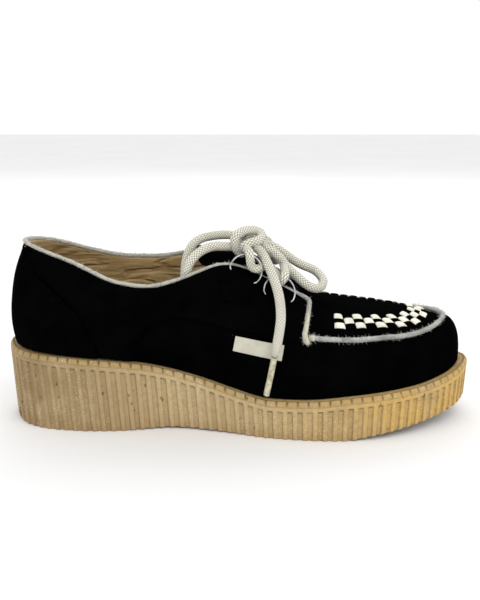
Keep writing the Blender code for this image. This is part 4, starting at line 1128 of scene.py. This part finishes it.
def makePad(name, length, width, rise):
    # one crowned pad of the weave, on a square from -1 to 1, with its corners rounded
    deselectAll()
    bpy.ops.mesh.primitive_grid_add(x_subdivisions=10, y_subdivisions=6, size=2.0)
    pad = bpy.context.object
    pad.name = name
    for vertex in pad.data.vertices:
        u, v, w = vertex.co
        crown = (1 - abs(u) ** 3.0) * (1 - 0.45 * v ** 4)
        vertex.co = (u * length * (1 - 0.04 * v ** 4), v * width * (1 - 0.05 * u ** 6), rise * crown)
    wall = pad.modifiers.new("wall", "SOLIDIFY")
    wall.thickness = weave["thickness"]
    wall.offset = -1.0
    applyModifiers(pad)
    return pad


def layPads(name, pad, grid, parity, finish, *nodes):
    # a copy of the pad in every second cell
    copies = []
    for column in range(len(grid) - 1):
        for row in range(weave["rows"]):
            if (column + row) % 2 != parity:
                continue
            copy = bpy.data.objects.new(f"{name}_{column}_{row}", pad.data.copy())
            bpy.context.scene.collection.objects.link(copy)
            corners = [grid[column][row], grid[column + 1][row], grid[column][row + 1], grid[column + 1][row + 1]]
            for vertex in copy.data.vertices:
                u, v, w = vertex.co
                shares = [(1 - u) * (1 - v), (1 + u) * (1 - v), (1 - u) * (1 + v), (1 + u) * (1 + v)]
                spot = sum(corner[0] * share / 4 for corner, share in zip(corners, shares))
                face = sum(corner[1] * share / 4 for corner, share in zip(corners, shares))
                vertex.co = spot + face / np.linalg.norm(face) * (w + 0.0006)
            copies.append(copy)
    bpy.data.objects.remove(pad)
    piece = joinAll(copies, name)
    pick(piece)
    bpy.ops.object.mode_set(mode="EDIT")
    bpy.ops.mesh.select_all(action="SELECT")
    bpy.ops.mesh.normals_make_consistent(inside=False)
    bpy.ops.object.mode_set(mode="OBJECT")
    sinkApron(piece)
    smooth(piece, 50)
    dress(piece, finish, "strips" if nodes else "suede", *nodes)


for piece in (upper, bpy.data.objects["apron_edge"], bpy.data.objects["apron_edge_hairs"]):
    sinkApron(piece)
cells = weaveGrid()
stripPad = makePad("strip_pad", weave["stripShare"], 1.14, weave["stripRise"])
layPads("woven_strips", stripPad, cells, 0, strips, "interlace")
bridgePad = makePad("bridge_pad", weave["bridgeShare"], 0.96, weave["bridgeRise"])
layPads("suede_bridges", bridgePad, cells, 1, suedeTop)

# rows of stitches: the seams as shares of the length and of the collar's height, side by side
stitching = {
    "collar": 0.106,
    "length": 0.0019,
    "width": 0.00055,
    "pitch": 0.0027,
    "counter": [
        (0.055, 0.94), (0.087, 0.84), (0.115, 0.788), (0.145, 0.729), (0.172, 0.66), (0.192, 0.577), (0.21, 0.47),
        (0.222, 0.38), (0.226, 0.34),
    ],
    "counterRows": (-0.0032, -0.0052),
    "wing": [
        (0.287, 0.42), (0.291, 0.49), (0.298, 0.54), (0.318, 0.589), (0.349, 0.621), (0.382, 0.629), (0.42, 0.615),
        (0.48, 0.575), (0.54, 0.555), (0.60, 0.515), (0.635, 0.492),
    ],
    "wingRows": (0.0028, 0.0048),
}


def makeStitch():
    # one stitch lying along x, rounded, sunk a little at its ends
    deselectAll()
    bpy.ops.mesh.primitive_cylinder_add(vertices=8, radius=stitching["width"] / 2, depth=stitching["length"])
    stitch = bpy.context.object
    stitch.name = "stitch"
    bpy.ops.object.mode_set(mode="EDIT")
    bpy.ops.mesh.select_all(action="SELECT")
    bpy.ops.transform.rotate(value=math.radians(90), orient_axis="Y", center_override=(0, 0, 0))
    bpy.ops.mesh.bevel(offset=stitching["width"] * 0.3, segments=2, affect="EDGES")
    bpy.ops.object.mode_set(mode="OBJECT")
    for vertex in stitch.data.vertices:
        vertex.co.z -= 0.0004 * (vertex.co.x / stitching["length"] * 2) ** 2
    return stitch


def seamSpots(table, aside, side):
    # even places beside a seam, on the side of the shoe, with the way ahead and the face there
    line = smoothLine(table, 10)
    line = np.column_stack([(line[:, 0] - 0.5) * shoeLength, line[:, 1] * stitching["collar"]])
    ahead = np.gradient(line, axis=0)
    ahead = ahead / np.linalg.norm(ahead, axis=1, keepdims=True)
    line = line + np.column_stack([-ahead[:, 1], ahead[:, 0]]) * aside
    spots = []
    for x, z in line:
        spot, face, index, far = sides.ray_cast(Vector((x, side * 0.2, z)), Vector((0, -side, 0)))
        if spot is not None:
            spots.append(tuple(spot))
    line = evenLine(spots, stitching["pitch"])
    ways = np.gradient(line, axis=0)
    places = []
    for point, way in zip(line, ways):
        spot, face, index, far = sides.find_nearest(Vector(point))
        places.append((np.array(spot), way / np.linalg.norm(way), np.array(face)))
    return places


def sewRow(stitch, places, copies, lift=0.00015):
    for spot, way, face in places:
        across = np.cross(face, way)
        across = across / np.linalg.norm(across)
        copy = bpy.data.objects.new("stitch_copy", stitch.data.copy())
        bpy.context.scene.collection.objects.link(copy)
        for vertex in copy.data.vertices:
            x, y, z = vertex.co
            vertex.co = spot + way * x + across * y + face * (z + lift)
        copies.append(copy)


stitch = makeStitch()
rows = []
for side in (-1, 1):
    for aside in stitching["counterRows"]:
        sewRow(stitch, seamSpots(stitching["counter"], aside, side), rows)
    for aside in stitching["wingRows"]:
        sewRow(stitch, seamSpots(stitching["wing"], aside, side), rows)
bpy.data.objects.remove(stitch)
seams = joinAll(rows, "seam_stitches")
smooth(seams, 60)
dress(seams, blackThread, "suede")
print("shoe: woven and stitched")


def setStage():
    deselectAll()
    bpy.ops.mesh.primitive_plane_add(size=12.0)
    floor = bpy.context.object
    floor.name = "floor"
    pale = plainFinish("pale floor", (0.86, 0.86, 0.86), (0.84, 0.84, 0.84), 3.0, 0.7, 200.0, 0.0001)
    floor.data.materials.append(pale.material)
    for name, place, size, power in (
        ("key light", (0.7, -1.0, 1.3), 1.4, 10.0),
        ("fill light", (-1.1, -0.9, 0.7), 1.6, 3.0),
        ("back light", (0.1, 1.2, 1.2), 1.4, 6.0),
    ):
        aim = Vector((0, 0, 0.05)) - Vector(place)
        turn = aim.to_track_quat("-Z", "Y").to_euler()
        bpy.ops.object.light_add(type="AREA", location=place, rotation=turn)
        light = bpy.context.object
        light.name = name
        light.data.size = size
        light.data.energy = power
    world = bpy.data.worlds.new("pale room")
    bpy.context.scene.world = world
    world.use_nodes = True
    background = world.node_tree.nodes["Background"]
    background.inputs["Color"].default_value = (1.0, 1.0, 1.0, 1)
    background.inputs["Strength"].default_value = 1.0
    bpy.context.scene.view_settings.view_transform = "Standard"


setStage()
print("shoe: stage set")
